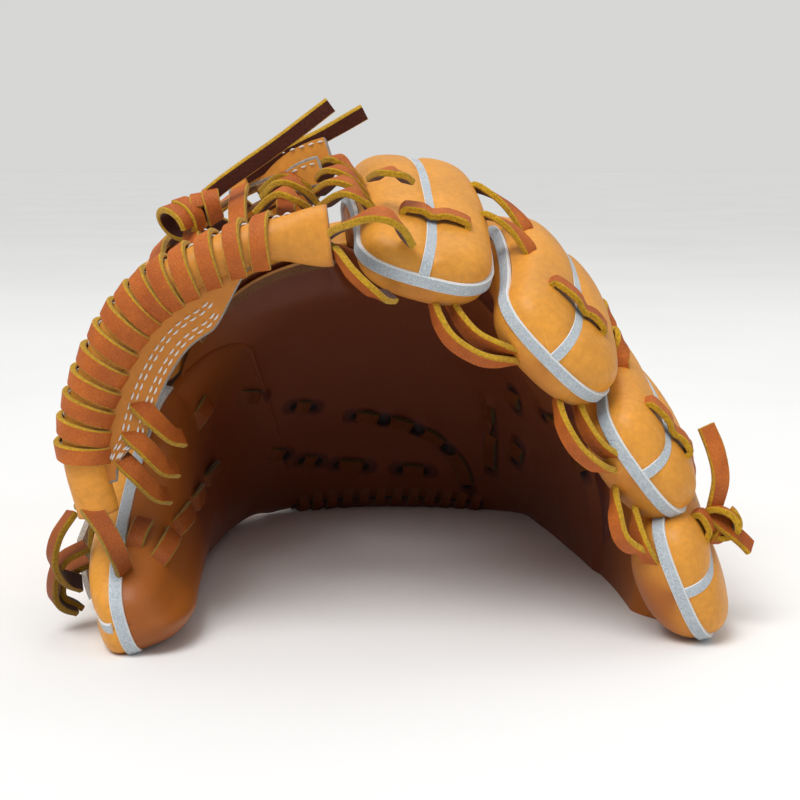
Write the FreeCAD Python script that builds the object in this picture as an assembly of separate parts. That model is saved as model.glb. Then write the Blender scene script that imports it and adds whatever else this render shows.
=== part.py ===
import FreeCAD, Part
import math
import os

# A fielder's baseball glove for the left hand, lying palm down and open on a table.
# Millimetres. +X points to the little finger, -Y to the fingertips, +Z up; the table is z = 0.
# The origin is on the table, under the middle of the whole glove.
# The glove is laid out on one dome, the pocket face of the palm. A place on it is (theta, t, d):
#   theta  degrees round the arch, about 0 at the little finger's edge, 90 on top, 180 at the thumb's edge
#   t      0 at the heel to 1 at the fingertips
#   d      distance outwards from the pocket face, towards the back of the hand
# Every leather, felt and lace piece is a closed solid with a small gap to its neighbours.

Vector = FreeCAD.Vector

# ---------------------------------------------------------------- driving dimensions
DOME_SHIFT = (-4.58, -12.06, 0)     # from the dome's own origin to the glove's
# One value per station t = 0, 0.2, 0.4, 0.6, 0.8, 1.
APEX_Y = (113, 86, 50, 4, -56, -116)        # top of each rib of the dome
APEX_Z = (0, 46, 95, 132, 146, 126)
EDGE_Y = (92, 60, 20, -24, -70, -116)       # where each rib meets the table
HALF_WIDTH = (70, 74, 80, 87, 94, 99)
CENTRE_X = (-3, -2, -1, 0, 0, 2)
EDGE_DIP = (-15, -8, 0, 8, 16, 24)          # degrees each rib runs on below its widest point
THICK_MIDDLE = (48, 46, 44, 42, 36, 26)     # pocket face to back of hand, under the arch's top
THICK_EDGE = (17, 18, 20, 22, 23, 24)

BULGE_WEB, BULGE_WEB_AT, BULGE_WEB_SPREAD = 0.17, 140, 26    # the web side of the arch swells
FLAT_RING, FLAT_RING_AT, FLAT_RING_SPREAD = 0.10, 45, 24     # the ring finger side is flatter

LEATHER = 2.8           # shell leather
FELT = 4.0              # palm and finger padding
LINING = 1.3
LACE_WIDTH = 6.5
LACE_THICK = 2.0
WELT = 1.8              # thickness of the welting sewn between two leathers
GAP = 0.35              # clearance between neighbouring pieces

CREASE_T = 0.60         # knuckle crease, where the fingers bend
FOLD_THUMB = 143        # theta of the thumb side's fold line
FOLD_LITTLE = 46        # theta of the little finger side's fold line
FOLD_GAP = 1.6          # degrees kept clear on each side of a fold line

# name: (base theta, tip centre, slope of the tip, half width at base and tip, thickness at base and tip)
FINGERS = {
    "index": (90, (8, -117, 136), 15, 25.5, 23.5, 43, 25),
    "middle": (62, (54, -119, 107), 45, 23.0, 24.0, 37, 25),
    "ring": (35, (88, -116, 64), 53, 21.5, 22.5, 31, 24),
    "little": (9, (101.8, -112, 21.4), 66, 20.6, 22.4, 26, 22),
}
FINGER_STATIONS = (0.03, 0.14, 0.28, 0.42, 0.56, 0.70, 0.82)
CAP_START = 0.86        # share of the finger's length where its round end begins
PAD = 3.0               # felt in front of each finger
WELT_PROUD = 1.2        # how far the welting stands out of the leather
WELT_DEPTH = 3.8        # how far it reaches in between the two leathers
RIDGE_HALF = 0.9        # half the width of the welting along the middle of the back
CAP_ANGLES = (18, 36, 52, 66, 78, 87)
CAP_POWER = 0.6
SECTION_POWER = 0.8     # below 1 squares a finger's section, above 1 pinches it
TIP_CURL = 0.35

THUMB_T = (0.06, 0.13, 0.20, 0.27, 0.34, 0.41, 0.48, 0.55, 0.62, 0.69, 0.76, 0.82, 0.88)
THUMB_INNER = (147, 147, 147.5, 152, 171, 184)    # theta of the thumb's web edge, t = 0 to 1
THUMB_THICK = (17, 21, 26, 28, 27, 25)
THUMB_TABLE_GAP = 2.0   # degrees between the thumb's outer edge and the table
SIDE_TUCK = 1.5         # degrees of the little finger side that are pressed flat on the table

# The web's top bar, a leather strip rolled up, from the thumb end to the index end: (x, z) of its middle.
BAR_LINE = ((-111, 52), (-116, 75), (-110, 100), (-97, 123), (-80, 137), (-52, 149), (-25, 153))
BAR_Y = -114
BAR_RADIUS = 7.4
BAR_LEATHER = 2.2
BAR_FLAP = 9.0          # width of the stitched strip along the inside of the roll
BAR_WRAPS = 14
BAR_LACED = (0.13, 0.84)    # share of the bar that the spiral lace covers
WRAP_HALF = 0.016       # half a wrap's width, as a share of the bar

# Where the web meets the palm, from thumb to index: places on the dome, then the web's height over it.
CROTCH = ((146, 0.50, 12), (139, 0.55, 17), (130, 0.585, 24), (120, 0.575, 32), (112, 0.54, 38))
WEB_RISE = 9.0          # how far the web swells between bar and crotch

# Laces in the palm leather, as places on the dome.
PALM_RUNS = (
    ((138, 0.39), (131, 0.32)),
    ((119, 0.28), (113, 0.26)),
    ((107, 0.24), (94, 0.22), (81, 0.20), (68, 0.17), (61, 0.12), (57, 0.06)),
    ((139, 0.24), (134, 0.21)),
    ((128, 0.17), (122, 0.15)),
    ((115, 0.13), (103, 0.11)),
    ((88, 0.10), (77, 0.10)),
    ((54, 0.36), (51, 0.29)),
    ((50, 0.27), (49.5, 0.16)),
)
SIDE_RUNS = (
    ((42, 0.46), (40, 0.41)),
    ((33, 0.52), (27, 0.56)),
    ((36, 0.30), (36, 0.23)),
    ((22, 0.55), (15, 0.56)),
)
HEEL_LOOPS = 15         # turns of the lace round the heel binding
HEEL_THETA = (50, 136)


# ---------------------------------------------------------------- the dome
def along(values, t):
    """Smooth curve through evenly spaced values, for t from 0 to 1."""
    last = len(values) - 1
    x = min(max(t, 0.0), 1.0) * last
    i = min(int(x), last - 1)
    f = x - i

    def slope(k):
        if k == 0:
            return values[1] - values[0]
        if k == last:
            return values[last] - values[last - 1]
        return (values[k + 1] - values[k - 1]) / 2

    return (
        (2 * f**3 - 3 * f**2 + 1) * values[i]
        + (f**3 - 2 * f**2 + f) * slope(i)
        + (3 * f**2 - 2 * f**3) * values[i + 1]
        + (f**3 - f**2) * slope(i + 1)
    )


def ease(x):
    x = min(max(x, 0.0), 1.0)
    return x * x * (3 - 2 * x)


def pocket(theta, t):
    """A point on the pocket face."""
    angle = math.radians(theta)
    dip = math.sin(math.radians(along(EDGE_DIP, t)))
    rise = along(APEX_Z, t) / (1 + dip)
    share = (math.sin(angle) + dip) / (1 + dip)
    swell = BULGE_WEB * math.exp(-(((theta - BULGE_WEB_AT) / BULGE_WEB_SPREAD) ** 2))
    swell -= FLAT_RING * math.exp(-(((theta - FLAT_RING_AT) / FLAT_RING_SPREAD) ** 2))
    scale = 1 + ease(t / CREASE_T) * swell
    edge_y = along(EDGE_Y, t)
    return Vector(
        along(CENTRE_X, t) + along(HALF_WIDTH, t) * math.cos(angle) * scale,
        edge_y + (along(APEX_Y, t) - edge_y) * share,
        rise * (math.sin(angle) * scale + dip),
    )


def directions(theta, t):
    """Unit vectors at a place: across towards the thumb, along towards the tips, and outwards."""
    across = pocket(theta + 0.1, t) - pocket(theta - 0.1, t)
    forward = pocket(theta, t + 0.001) - pocket(theta, t - 0.001)
    out = across.cross(forward)
    return across.normalize(), forward.normalize(), out.normalize()


def at(theta, t, d):
    return pocket(theta, t) + directions(theta, t)[2] * d


def thickness(theta, t):
    edge = along(THICK_EDGE, t)
    arch = max(math.sin(math.radians(theta)), 0.0) ** 1.5
    return edge + (along(THICK_MIDDLE, t) - edge) * arch


def table_theta(t, little_side):
    dip = along(EDGE_DIP, t)
    return -dip if little_side else 180 + dip


# ---------------------------------------------------------------- solids from grids of points
def sheet(inner, outer):
    """A closed solid between two grids of points with the same rows and columns."""
    faces, surfaces = [], []
    for grid in (inner, outer):
        surface = Part.BSplineSurface()
        surface.interpolate(grid)
        surfaces.append(surface)
        faces.append(surface.toShape())
    a, b = surfaces
    u0, u1, v0, v1 = a.bounds()
    p0, p1, q0, q1 = b.bounds()
    borders = (
        (a.uIso(u0), b.uIso(p0)),
        (a.uIso(u1), b.uIso(p1)),
        (a.vIso(v0), b.vIso(q0)),
        (a.vIso(v1), b.vIso(q1)),
    )
    for one, other in borders:
        faces.append(Part.makeRuledSurface(one.toShape(), other.toShape()))
    solid = Part.Solid(Part.Shell(faces))
    if solid.Volume < 0:
        solid.reverse()
    return solid


def spread(first, last, count):
    return [first + (last - first) * i / (count - 1) for i in range(count)]


def panel(theta_range, t_range, d_range, rows=9, columns=7):
    """A sheet over a patch of the dome. Each range is a pair, whose ends may be functions."""

    def value(x, *arguments):
        return x(*arguments) if callable(x) else x

    grids = []
    for d in d_range:
        grid = []
        for t in spread(t_range[0], t_range[1], columns):
            low, high = (value(x, t) for x in theta_range)
            grid.append([at(theta, t, value(d, theta, t)) for theta in spread(low, high, rows)])
        grids.append(grid)
    return sheet(*grids)


def strip(points, widths, normals, width=LACE_WIDTH, thick=LACE_THICK):
    """A flat lace along points, with the direction of its width and of its upper face at each."""
    lower, upper = [], []
    for p, w, n in zip(points, widths, normals):
        side = w * (width / 2)
        lift = n * thick
        lower.append([p - side, p + side])
        upper.append([p - side + lift, p + side + lift])
    return sheet(lower, upper)


def above_table(solid):
    """The part of a solid that is above the table, so that leather pressed on it is flat there."""
    if solid.BoundBox.ZMin >= 0:
        return [solid]
    size = 600
    block = Part.makeBox(size, size, size, Vector(-size / 2, -size / 2, 0))
    return solid.common(block).Solids


NODES = {}


def add(node, *solids):
    for solid in solids:
        NODES.setdefault(node, []).extend(above_table(solid))


# ---------------------------------------------------------------- finger stalls
class Stall:
    """A finger or thumb stall: frames along a centre line, with half width and half thickness."""

    def __init__(self, frames, seam_gap=GAP):
        self.frames = frames    # (centre, across, out, forward, half width, half thickness, sine of cap)
        self.seam_gap = seam_gap

    def point(self, frame, s, n):
        return frame[0] + frame[1] * s + frame[2] * n

    def section(self, frame, psi, inset, seam, side):
        """A point on the stall's skin, inset into it. side is -1 on the pocket face, 1 on the back."""
        centre, across, out, forward, width, height, cap = frame
        width = max(width - inset, 0.7)
        height = max(height - inset, seam + 0.5)
        s = width * math.copysign(abs(math.cos(psi)) ** SECTION_POWER, math.cos(psi))
        n = side * (seam + (height - seam) * math.sin(psi) ** SECTION_POWER)
        return centre - forward * (inset * cap) + across * s + out * n

    def half(self, side, angles, insets=(0.0, LEATHER), frames=None):
        """A shell on one side of the welting, over a range of section angles in degrees."""
        seam = WELT / 2 + self.seam_gap
        grids = []
        for inset in insets:
            grids.append(
                [
                    [self.section(f, math.radians(a), inset, seam, side) for a in angles]
                    for f in (frames or self.frames)
                ]
            )
        return sheet(*grids)

    def welting(self, proud=WELT_PROUD, depth=WELT_DEPTH):
        """The flat strip sewn between front and back leather, round the stall's outline."""
        line = [(f, 1) for f in self.frames] + [(f, -1) for f in reversed(self.frames)]
        centre = [f[0] + f[1] * (side * f[4]) for f, side in line]
        lower, upper = [], []
        for i, (frame, side) in enumerate(line):
            way = centre[min(i + 1, len(line) - 1)] - centre[max(i - 1, 0)]
            outwards = way.cross(frame[2]).normalize()
            if outwards.dot(frame[1] * side + frame[3] * frame[6]) < 0:
                outwards = outwards * -1
            edges = (centre[i] + outwards * proud, centre[i] - outwards * min(depth, frame[4] * 0.8 + 1))
            lower.append([p - frame[2] * (WELT / 2) for p in edges])
            upper.append([p + frame[2] * (WELT / 2) for p in edges])
        return sheet(lower, upper)

    def ridge(self, first=0, last=-2, proud=WELT_PROUD):
        """The welting along the middle of the back."""
        lower, upper = [], []
        for f in self.frames[first:last]:
            top = f[5] + proud
            bottom = max(f[5] - LEATHER, WELT / 2 + GAP)
            lower.append([self.point(f, -RIDGE_HALF, bottom), self.point(f, RIDGE_HALF, bottom)])
            upper.append([self.point(f, -RIDGE_HALF, top), self.point(f, RIDGE_HALF, top)])
        return sheet(lower, upper)


def finger_frames(name):
    base_theta, tip, slope, width0, width1, thick0, thick1 = FINGERS[name]
    across0, forward0, out0 = directions(base_theta, CREASE_T)
    start = at(base_theta, CREASE_T, thick0 / 2)
    angle = math.radians(slope)
    across1 = Vector(-math.cos(angle), 0, math.sin(angle))
    out1 = Vector(math.sin(angle), 0, math.cos(angle))
    end = Vector(*tip)
    forward1 = (Vector(0, -1, 0) - out1 * TIP_CURL).normalize()
    reach = (end - start).Length * 1.05
    frames = []
    stations = [(u, 1.0, 0.0) for u in FINGER_STATIONS + (CAP_START,)]
    for a in CAP_ANGLES:
        sine = math.sin(math.radians(a))
        stations.append((CAP_START + (1 - CAP_START) * sine, math.cos(math.radians(a)) ** CAP_POWER, sine))
    for u, cap, sine in stations:
        centre = (
            start * (2 * u**3 - 3 * u**2 + 1)
            + forward0 * (reach * (u**3 - 2 * u**2 + u))
            + end * (3 * u**2 - 2 * u**3)
            + forward1 * (reach * (u**3 - u**2))
        )
        forward = (
            (end - start) * (6 * u - 6 * u**2)
            + forward0 * (reach * (3 * u**2 - 4 * u + 1))
            + forward1 * (reach * (3 * u**2 - 2 * u))
        ).normalize()
        k = ease(u)
        across = across0 * (1 - k) + across1 * k
        across = (across - forward * across.dot(forward)).normalize()
        out = across.cross(forward)
        width = (width0 + (width1 - width0) * k) * cap
        height = (thick0 + (thick1 - thick0) * k) / 2 * cap
        frames.append((centre, across, out, forward, width, height, sine))
    return frames


def thumb_frames():
    frames = []
    stations = [(t, 1.0, 0.0) for t in THUMB_T]
    for a in CAP_ANGLES:
        sine = math.sin(math.radians(a))
        cap = math.cos(math.radians(a)) ** CAP_POWER
        stations.append((THUMB_T[-1] + (1 - THUMB_T[-1]) * sine, cap, sine))
    for t, cap, sine in stations:
        low = along(THUMB_INNER, t)
        high = table_theta(t, False) - THUMB_TABLE_GAP
        theta = (low + high) / 2
        height = along(THUMB_THICK, t) / 2
        across, forward, out = directions(theta, t)
        width = (at(low, t, height) - at(high, t, height)).Length / 2
        frames.append((at(theta, t, height), across, out, forward, width * cap, height * cap, sine))
    return frames


def short(frames, first, share):
    """Two frames that bound only a share of the run from one frame to the next."""
    a, b = frames[first], frames[first + 1]
    middle = tuple(x * (1 - share) + y * share for x, y in zip(a, b))
    return [a, middle]


BACK_SIDES = (spread(3, 86.8, 7), spread(93.2, 177, 7))
FRONT = spread(0, 180, 13)

for name in FINGERS:
    stall = Stall(finger_frames(name))
    add(name + "_front_leather", stall.half(-1, FRONT))
    add(name + "_back_thumb_half", stall.half(1, BACK_SIDES[0]))
    add(name + "_back_little_half", stall.half(1, BACK_SIDES[1]))
    add(name + "_welting", stall.welting(), stall.ridge())
    pad_insets = (LEATHER + 3 * GAP, LEATHER + 3 * GAP + PAD)
    add(name + "_pad", stall.half(-1, spread(35, 145, 7), pad_insets, stall.frames[1:9]))

THUMB_SEAM_GAP = 0.8    # wider, because the thumb twists along its length
STIFFENER = (LEATHER + 1.6, LEATHER + 4.0)
HEEL_PAD = (LEATHER + 1.0, LEATHER + 5.0)

thumb = Stall(thumb_frames(), THUMB_SEAM_GAP)
add("thumb_front_leather", thumb.half(-1, FRONT))
add("thumb_back_inner_half", thumb.half(1, BACK_SIDES[1]))
add("thumb_back_outer_half", thumb.half(1, BACK_SIDES[0]))
add("thumb_welting", thumb.welting(), thumb.ridge(5, -6))
add("thumb_stiffener", thumb.half(1, spread(30, 150, 7), STIFFENER, thumb.frames[5:15]))
add("thumb_heel_pad", thumb.half(-1, spread(30, 150, 7), HEEL_PAD, thumb.frames[0:7]))


# ---------------------------------------------------------------- palm, and the little finger's side
def back(depth):
    return lambda theta, t: thickness(theta, t) - depth


MIDDLE = (FOLD_LITTLE + FOLD_GAP, FOLD_THUMB - FOLD_GAP)
SIDE = (lambda t: table_theta(t, True) - SIDE_TUCK, FOLD_LITTLE - FOLD_GAP)
PALM_END = CREASE_T - 0.012
felt = LEATHER + GAP
lining = felt + FELT + GAP

add("palm_leather", panel(MIDDLE, (0.04, PALM_END), (0, LEATHER)))
add("palm_felt", panel((MIDDLE[0] + 2, MIDDLE[1] - 2), (0.06, PALM_END - 0.02), (felt, felt + FELT)))
add("palm_lining", panel((MIDDLE[0] + 1, MIDDLE[1] - 1), (0.05, PALM_END - 0.01), (lining, lining + LINING)))
add("knuckle_leather", panel((MIDDLE[0], 116), (0.42, PALM_END), (back(LEATHER), back(0))))
add("wrist_strap", panel((MIDDLE[0] + 1, MIDDLE[1] - 1), (0.05, 0.19), (back(LEATHER), back(0)), columns=4))
strap_pad = (back(LEATHER + GAP + FELT), back(LEATHER + GAP))
add("wrist_strap_pad", panel((MIDDLE[0] + 4, MIDDLE[1] - 4), (0.06, 0.18), strap_pad, columns=4))

add("side_palm_leather", panel(SIDE, (0.04, PALM_END), (0, LEATHER)))
add("side_heel_pad", panel((lambda t: SIDE[0](t) + 4, SIDE[1] - 2), (0.06, 0.40), (felt, felt + FELT)))
side_inside = (lambda t: SIDE[0](t) + 5, SIDE[1] - 1)
add("side_lining", panel(side_inside, (0.05, PALM_END - 0.01), (lining, lining + LINING)))
add("side_back_leather", panel(SIDE, (0.05, PALM_END), (back(LEATHER), back(0))))


# ---------------------------------------------------------------- laces
def ribbon(points, normals, width=LACE_WIDTH, thick=LACE_THICK):
    """A flat lace through the points, its upper face turned to the normals."""
    last = len(points) - 1
    widths = []
    for i, out in enumerate(normals):
        way = points[min(i + 1, last)] - points[max(i - 1, 0)]
        widths.append(out.cross(way).normalize())
    return strip(points, widths, normals, width, thick)


def mix(a, b, f):
    return a + (b - a) * f


def dome_lace(places, d, width=LACE_WIDTH, bow=0.0):
    """A lace through places (theta, t) on the dome, its lower face at height d."""
    points, normals = [], []
    count = max(2 * len(places) - 1, 4)
    for f in spread(0, 1, count):
        theta = along([p[0] for p in places], f) if len(places) > 2 else mix(places[0][0], places[1][0], f)
        t = along([p[1] for p in places], f) if len(places) > 2 else mix(places[0][1], places[1][1], f)
        out = directions(theta, t)[2]
        points.append(pocket(theta, t) + out * (d + bow * math.sin(math.pi * f)))
        normals.append(out)
    return ribbon(points, normals, width)


IN_POCKET = -GAP - LACE_THICK

# ---------------------------------------------------------------- heel and wrist
add("heel_binding", panel((MIDDLE[0] + 1, MIDDLE[1] - 1), (0.006, 0.033), (0, lining + LINING), columns=2))
for theta in spread(HEEL_THETA[0], HEEL_THETA[1], HEEL_LOOPS):
    add("heel_lace", dome_lace(((theta, 0.002), (theta + 2.4, 0.037)), IN_POCKET, 5.0))
    add("heel_lace", dome_lace(((theta + 2.4, 0.037), (theta + 4.8, 0.002)), lining + LINING + GAP, 5.0))
binding = (back(LEATHER + 1), back(-1))
add("wrist_binding", panel((MIDDLE[0] + 1, MIDDLE[1] - 1), (0.194, 0.212), binding, columns=2))
for places in PALM_RUNS:
    add("palm_lace", dome_lace(places, IN_POCKET))
for places in SIDE_RUNS:
    add("side_lace", dome_lace(places, IN_POCKET))

# ---------------------------------------------------------------- web
BAR_X = [p[0] for p in BAR_LINE]
BAR_Z = [p[1] for p in BAR_LINE]


def bar_frame(s):
    """Middle of the web's roll at share s, its direction, and the direction into the pocket."""
    middle = Vector(along(BAR_X, s), BAR_Y, along(BAR_Z, s))
    step = 0.004
    a, b = max(s - step, 0), min(s + step, 1)
    way = Vector(along(BAR_X, b) - along(BAR_X, a), 0, along(BAR_Z, b) - along(BAR_Z, a)).normalize()
    return middle, way, Vector(way.z, 0, -way.x)


def bar_section(s, turn, radius):
    """A point of the roll's section. turn is degrees from the pocket side, over the front to the back."""
    middle, way, inward = bar_frame(s)
    angle = math.radians(turn)
    return middle + inward * (radius * math.cos(angle)) - Vector(0, radius * math.sin(angle), 0)


def bar_flap(s, share, radius):
    """A point of the strip that runs on from the roll, backwards and into the pocket."""
    middle, way, inward = bar_frame(s)
    run = (inward + Vector(0, 1, 0)).normalize()
    across = (Vector(0, 1, 0) - inward).normalize()
    return middle + inward * (BAR_RADIUS * 0.2) + across * radius * 0.9 + run * (5 + BAR_FLAP * share)


def web_top_bar():
    grids = []
    for radius in (BAR_RADIUS, BAR_RADIUS - BAR_LEATHER):
        grid = []
        for s in spread(0, 1, 15):
            roll = [bar_section(s, turn, radius) for turn in spread(-20, 240, 12)]
            grid.append(roll)
        grids.append(grid)
    return sheet(*grids)


def bar_strip():
    grids = []
    for lift in (BAR_RADIUS, BAR_RADIUS - BAR_LEATHER):
        grids.append([[bar_flap(s, f, lift) for f in spread(0.2, 1, 4)] for s in spread(0.06, 0.94, 13)])
    return sheet(*grids)


add("web_top_bar", web_top_bar())
add("web_bar_facing", bar_strip())
for i in range(BAR_WRAPS):
    s = mix(BAR_LACED[0], BAR_LACED[1], i / (BAR_WRAPS - 1))
    grids = []
    for radius in (BAR_RADIUS + GAP, BAR_RADIUS + GAP + LACE_THICK):
        rows = []
        for turn in spread(-5, 225, 10):
            rows.append([bar_section(s - WRAP_HALF, turn, radius), bar_section(s + WRAP_HALF, turn, radius)])
        grids.append(rows)
    add("web_top_lace", sheet(*grids))


def web_face(s, q, lift=0.0):
    """The web's pocket face: s from thumb to index, q from the bar to the crotch."""
    middle, way, inward = bar_frame(s)
    start = middle + Vector(0, 4, 0)
    theta, t, d = (along([c[k] for c in CROTCH], s) for k in range(3))
    end = at(theta, t, d)
    rise = WEB_RISE * 4 * q * (1 - q)
    out = inward * -1
    return start * (1 - q) + end * q + out * (rise + lift)


def web_strip(s_range, q_range, lift, thick=2.2, rows=7, columns=5):
    grids = []
    for height in (lift, lift + thick):
        grids.append(
            [[web_face(s, q, height) for q in spread(*q_range, columns)] for s in spread(*s_range, rows)]
        )
    return sheet(*grids)


add("web_crosspiece", web_strip((0.10, 0.97), (0.42, 0.58), 0))
add("web_post", web_strip((0.42, 0.58), (0.14, 0.86), 3.2))
add("web_base", web_strip((0.14, 0.97), (0.80, 0.95), 0))
for s in spread(0.28, 0.86, 6):
    add("web_lace", web_strip((s, s + 0.045), (0.60, 0.78), 0, LACE_THICK, 3, 3))
for q in spread(0.18, 0.74, 5):
    add("web_lace", web_strip((0.90, 0.99), (q, q + 0.05), 2.9, LACE_THICK, 3, 3))

# ---------------------------------------------------------------- laces that ride on the stalls
LACE_OVER = (-2.0 - LACE_THICK, -2.0)       # clears the welting along the back
LACE_ON = (-GAP - LACE_THICK, -GAP)
THUMB_LACE_ON = (-1.0 - LACE_THICK, -1.0)
OVER_SEAM = (58, 122)       # degrees of the section that each kind of lace covers
THUMB_EDGE = (12, 40)
LITTLE_EDGE = (140, 168)
CLOSE_TO_NEXT = ("ring",)   # the lace on this finger's edge would run into the next finger

stalls = {name: Stall(finger_frames(name)) for name in FINGERS}
for name, stall in stalls.items():
    tips = stall.frames[6:8]
    add(name + "_tip_lace", stall.half(1, spread(*OVER_SEAM, 7), LACE_OVER, tips))
    add(name + "_tip_lace", stall.half(-1, spread(*THUMB_EDGE, 4), LACE_ON, tips))
    if name not in CLOSE_TO_NEXT:
        add(name + "_tip_lace", stall.half(-1, spread(*LITTLE_EDGE, 4), LACE_ON, tips))
add("thumb_lace", thumb.half(1, spread(*OVER_SEAM, 7), LACE_OVER, thumb.frames[10:12]))
for first in (4, 7, 10):
    place = short(thumb.frames, first, 0.9)
    add("thumb_lace", thumb.half(-1, spread(120, 168, 4), THUMB_LACE_ON, place))
    add("thumb_lace", thumb.half(1, spread(25, 50, 4), THUMB_LACE_ON, place))

LOOP_INSET = (5.5, 6.8)     # the loop that holds the little finger, inside the stall
THUMB_LOOP_INSET = (8.0, 9.3)   # the thumb's, under its stiffener
LOOP_ANGLES = spread(25, 155, 7)
add("thumb_loop", thumb.half(1, LOOP_ANGLES, THUMB_LOOP_INSET, thumb.frames[1:4]))
add("little_loop", stalls["little"].half(1, LOOP_ANGLES, LOOP_INSET, stalls["little"].frames[1:3]))
TAB_INSET = (-6.6, -4.4)
add("thumb_tab", thumb.half(1, spread(60, 100, 4), TAB_INSET, thumb.frames[10:12]))

# ---------------------------------------------------------------- knots and loose lace ends
LITTLE_KNOT = Vector(127.5, -94, 43)
WEB_KNOT = Vector(-82, -88, 157)
LITTLE_TAILS = (
    ((127, -92, 52.5), (125, -90, 64), (121, -88, 78)),
    ((133, -95, 34), (134.5, -93, 30), (135, -91, 25)),
)
WEB_TAILS = (
    ((-70, -84, 169), (-50, -80, 185), (-24, -76, 201)),
    ((-66, -66, 173), (-40, -60, 186), (-14, -54, 197)),
)


def knot(centre, axis):
    return Part.makeTorus(5.2, 2.3, centre, axis)


def tail(places, normal):
    """A loose lace end, one side of it turned to the normal."""
    ends = [Vector(*p) for p in places]
    points = [curve_point(ends, f) for f in spread(0, 1, 6)]
    return ribbon(points, [normal] * len(points), LACE_WIDTH - 1)


def curve_point(ends, f):
    """Quadratic curve through three points, the middle one at half way."""
    a, b, c = ends
    return a * ((1 - f) * (1 - 2 * f)) + b * (4 * f * (1 - f)) + c * (f * (2 * f - 1))


add("little_lace_knot", knot(LITTLE_KNOT, Vector(1, 0.3, 0.2)))
add("little_lace_knot", knot(LITTLE_KNOT + Vector(1, 8, -8), Vector(0.2, 1, 0.3)))
add("web_lace_knot", knot(WEB_KNOT, Vector(0.4, 1, 0.2)))
add("web_lace_knot", knot(WEB_KNOT + Vector(7, 9, 5), Vector(1, 0.3, 0.5)))
for places in LITTLE_TAILS:
    add("little_lace_ends", tail(places, Vector(0.3, 1, 0).normalize()))
for places in WEB_TAILS:
    add("web_lace_ends", tail(places, Vector(0, 1, 0.3).normalize()))


# ---------------------------------------------------------------- output
os.makedirs("parts", exist_ok=True)
for old in os.listdir("parts"):
    os.remove(os.path.join("parts", old))
for node, solids in NODES.items():
    for solid in solids:
        if not solid.isValid() or solid.Volume <= 0:
            print("bad solid in", node)
    shape = solids[0] if len(solids) == 1 else Part.makeCompound(solids)
    shape.translate(Vector(*DOME_SHIFT))
    shape.exportStep(os.path.join("parts", node + ".step"))
print(len(NODES), "nodes")
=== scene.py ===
import math

import bpy
import numpy as np
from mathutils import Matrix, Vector


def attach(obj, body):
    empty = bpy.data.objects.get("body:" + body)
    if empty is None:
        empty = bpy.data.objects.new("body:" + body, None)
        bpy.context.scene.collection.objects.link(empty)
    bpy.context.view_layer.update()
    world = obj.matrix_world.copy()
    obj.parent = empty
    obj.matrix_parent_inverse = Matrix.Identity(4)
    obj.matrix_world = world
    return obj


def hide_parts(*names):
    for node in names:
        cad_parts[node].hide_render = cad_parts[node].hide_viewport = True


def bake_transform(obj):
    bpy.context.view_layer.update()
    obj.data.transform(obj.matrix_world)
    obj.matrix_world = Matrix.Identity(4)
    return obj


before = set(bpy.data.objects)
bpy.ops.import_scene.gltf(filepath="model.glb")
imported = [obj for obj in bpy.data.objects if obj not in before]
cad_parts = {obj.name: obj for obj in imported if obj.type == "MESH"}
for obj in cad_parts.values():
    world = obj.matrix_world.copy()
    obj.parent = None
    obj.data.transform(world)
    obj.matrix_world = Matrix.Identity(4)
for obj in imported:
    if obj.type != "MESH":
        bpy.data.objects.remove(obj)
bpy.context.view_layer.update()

# A fielder's glove lying palm down. Lengths in this script are millimetres in the dome's own frame, as in the
# CAD model: a place is (theta, t, d), with theta round the arch from the little finger to the thumb, t from
# heel to tips, and d outwards from the pocket face. SHIFT takes it to the frame, and MM to metres.
MM = 0.001
SHIFT = np.array([-4.58, -12.06, 0.0])
rng = np.random.default_rng(7)

# -------------------- driving dimensions: the dome as in the CAD model, the stalls a little fuller
APEX_Y = (113, 86, 50, 4, -56, -116)
APEX_Z = (0, 46, 95, 132, 146, 126)
EDGE_Y = (92, 60, 20, -24, -70, -116)
HALF_WIDTH = (70, 74, 80, 87, 94, 99)
CENTRE_X = (-3, -2, -1, 0, 0, 2)
EDGE_DIP = (-15, -8, 0, 8, 16, 24)
THICK_MIDDLE = (48, 46, 44, 42, 36, 26)
THICK_EDGE = (17, 18, 20, 22, 23, 24)
BULGE_WEB, BULGE_WEB_AT, BULGE_WEB_SPREAD = 0.17, 140, 26
FLAT_RING, FLAT_RING_AT, FLAT_RING_SPREAD = 0.10, 45, 24
CREASE_T = 0.60
FINGERS = {
    "index": (90, (8, -117, 136), 15, 26.5, 24.8, 43, 25),
    "middle": (62, (54, -119, 107), 45, 25.0, 26.0, 37, 26),
    "ring": (35, (88, -116, 64), 53, 24.0, 24.5, 31, 25),
    "little": (9, (103, -121, 21), 66, 23.5, 24.0, 27, 24),
}
TIP_CURL = 0.35
CAP_START = 0.86
CAP_POWER = 0.6
THUMB_INNER = (147, 147, 147.5, 152, 171, 184)
THUMB_THICK = (17, 21, 26, 28, 27, 25)
LEATHER = 2.6
SEAM = 2.1      # half the gap between front and back leather, under the welting
SEAM_LIFT = 0.2
VALLEY = 2.4    # half width of the valley along a stall's centre seam
PALM_JOIN, BACK_JOIN = 134.0, 138.0     # theta where the thumb's front and back meet the palm and the back


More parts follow.
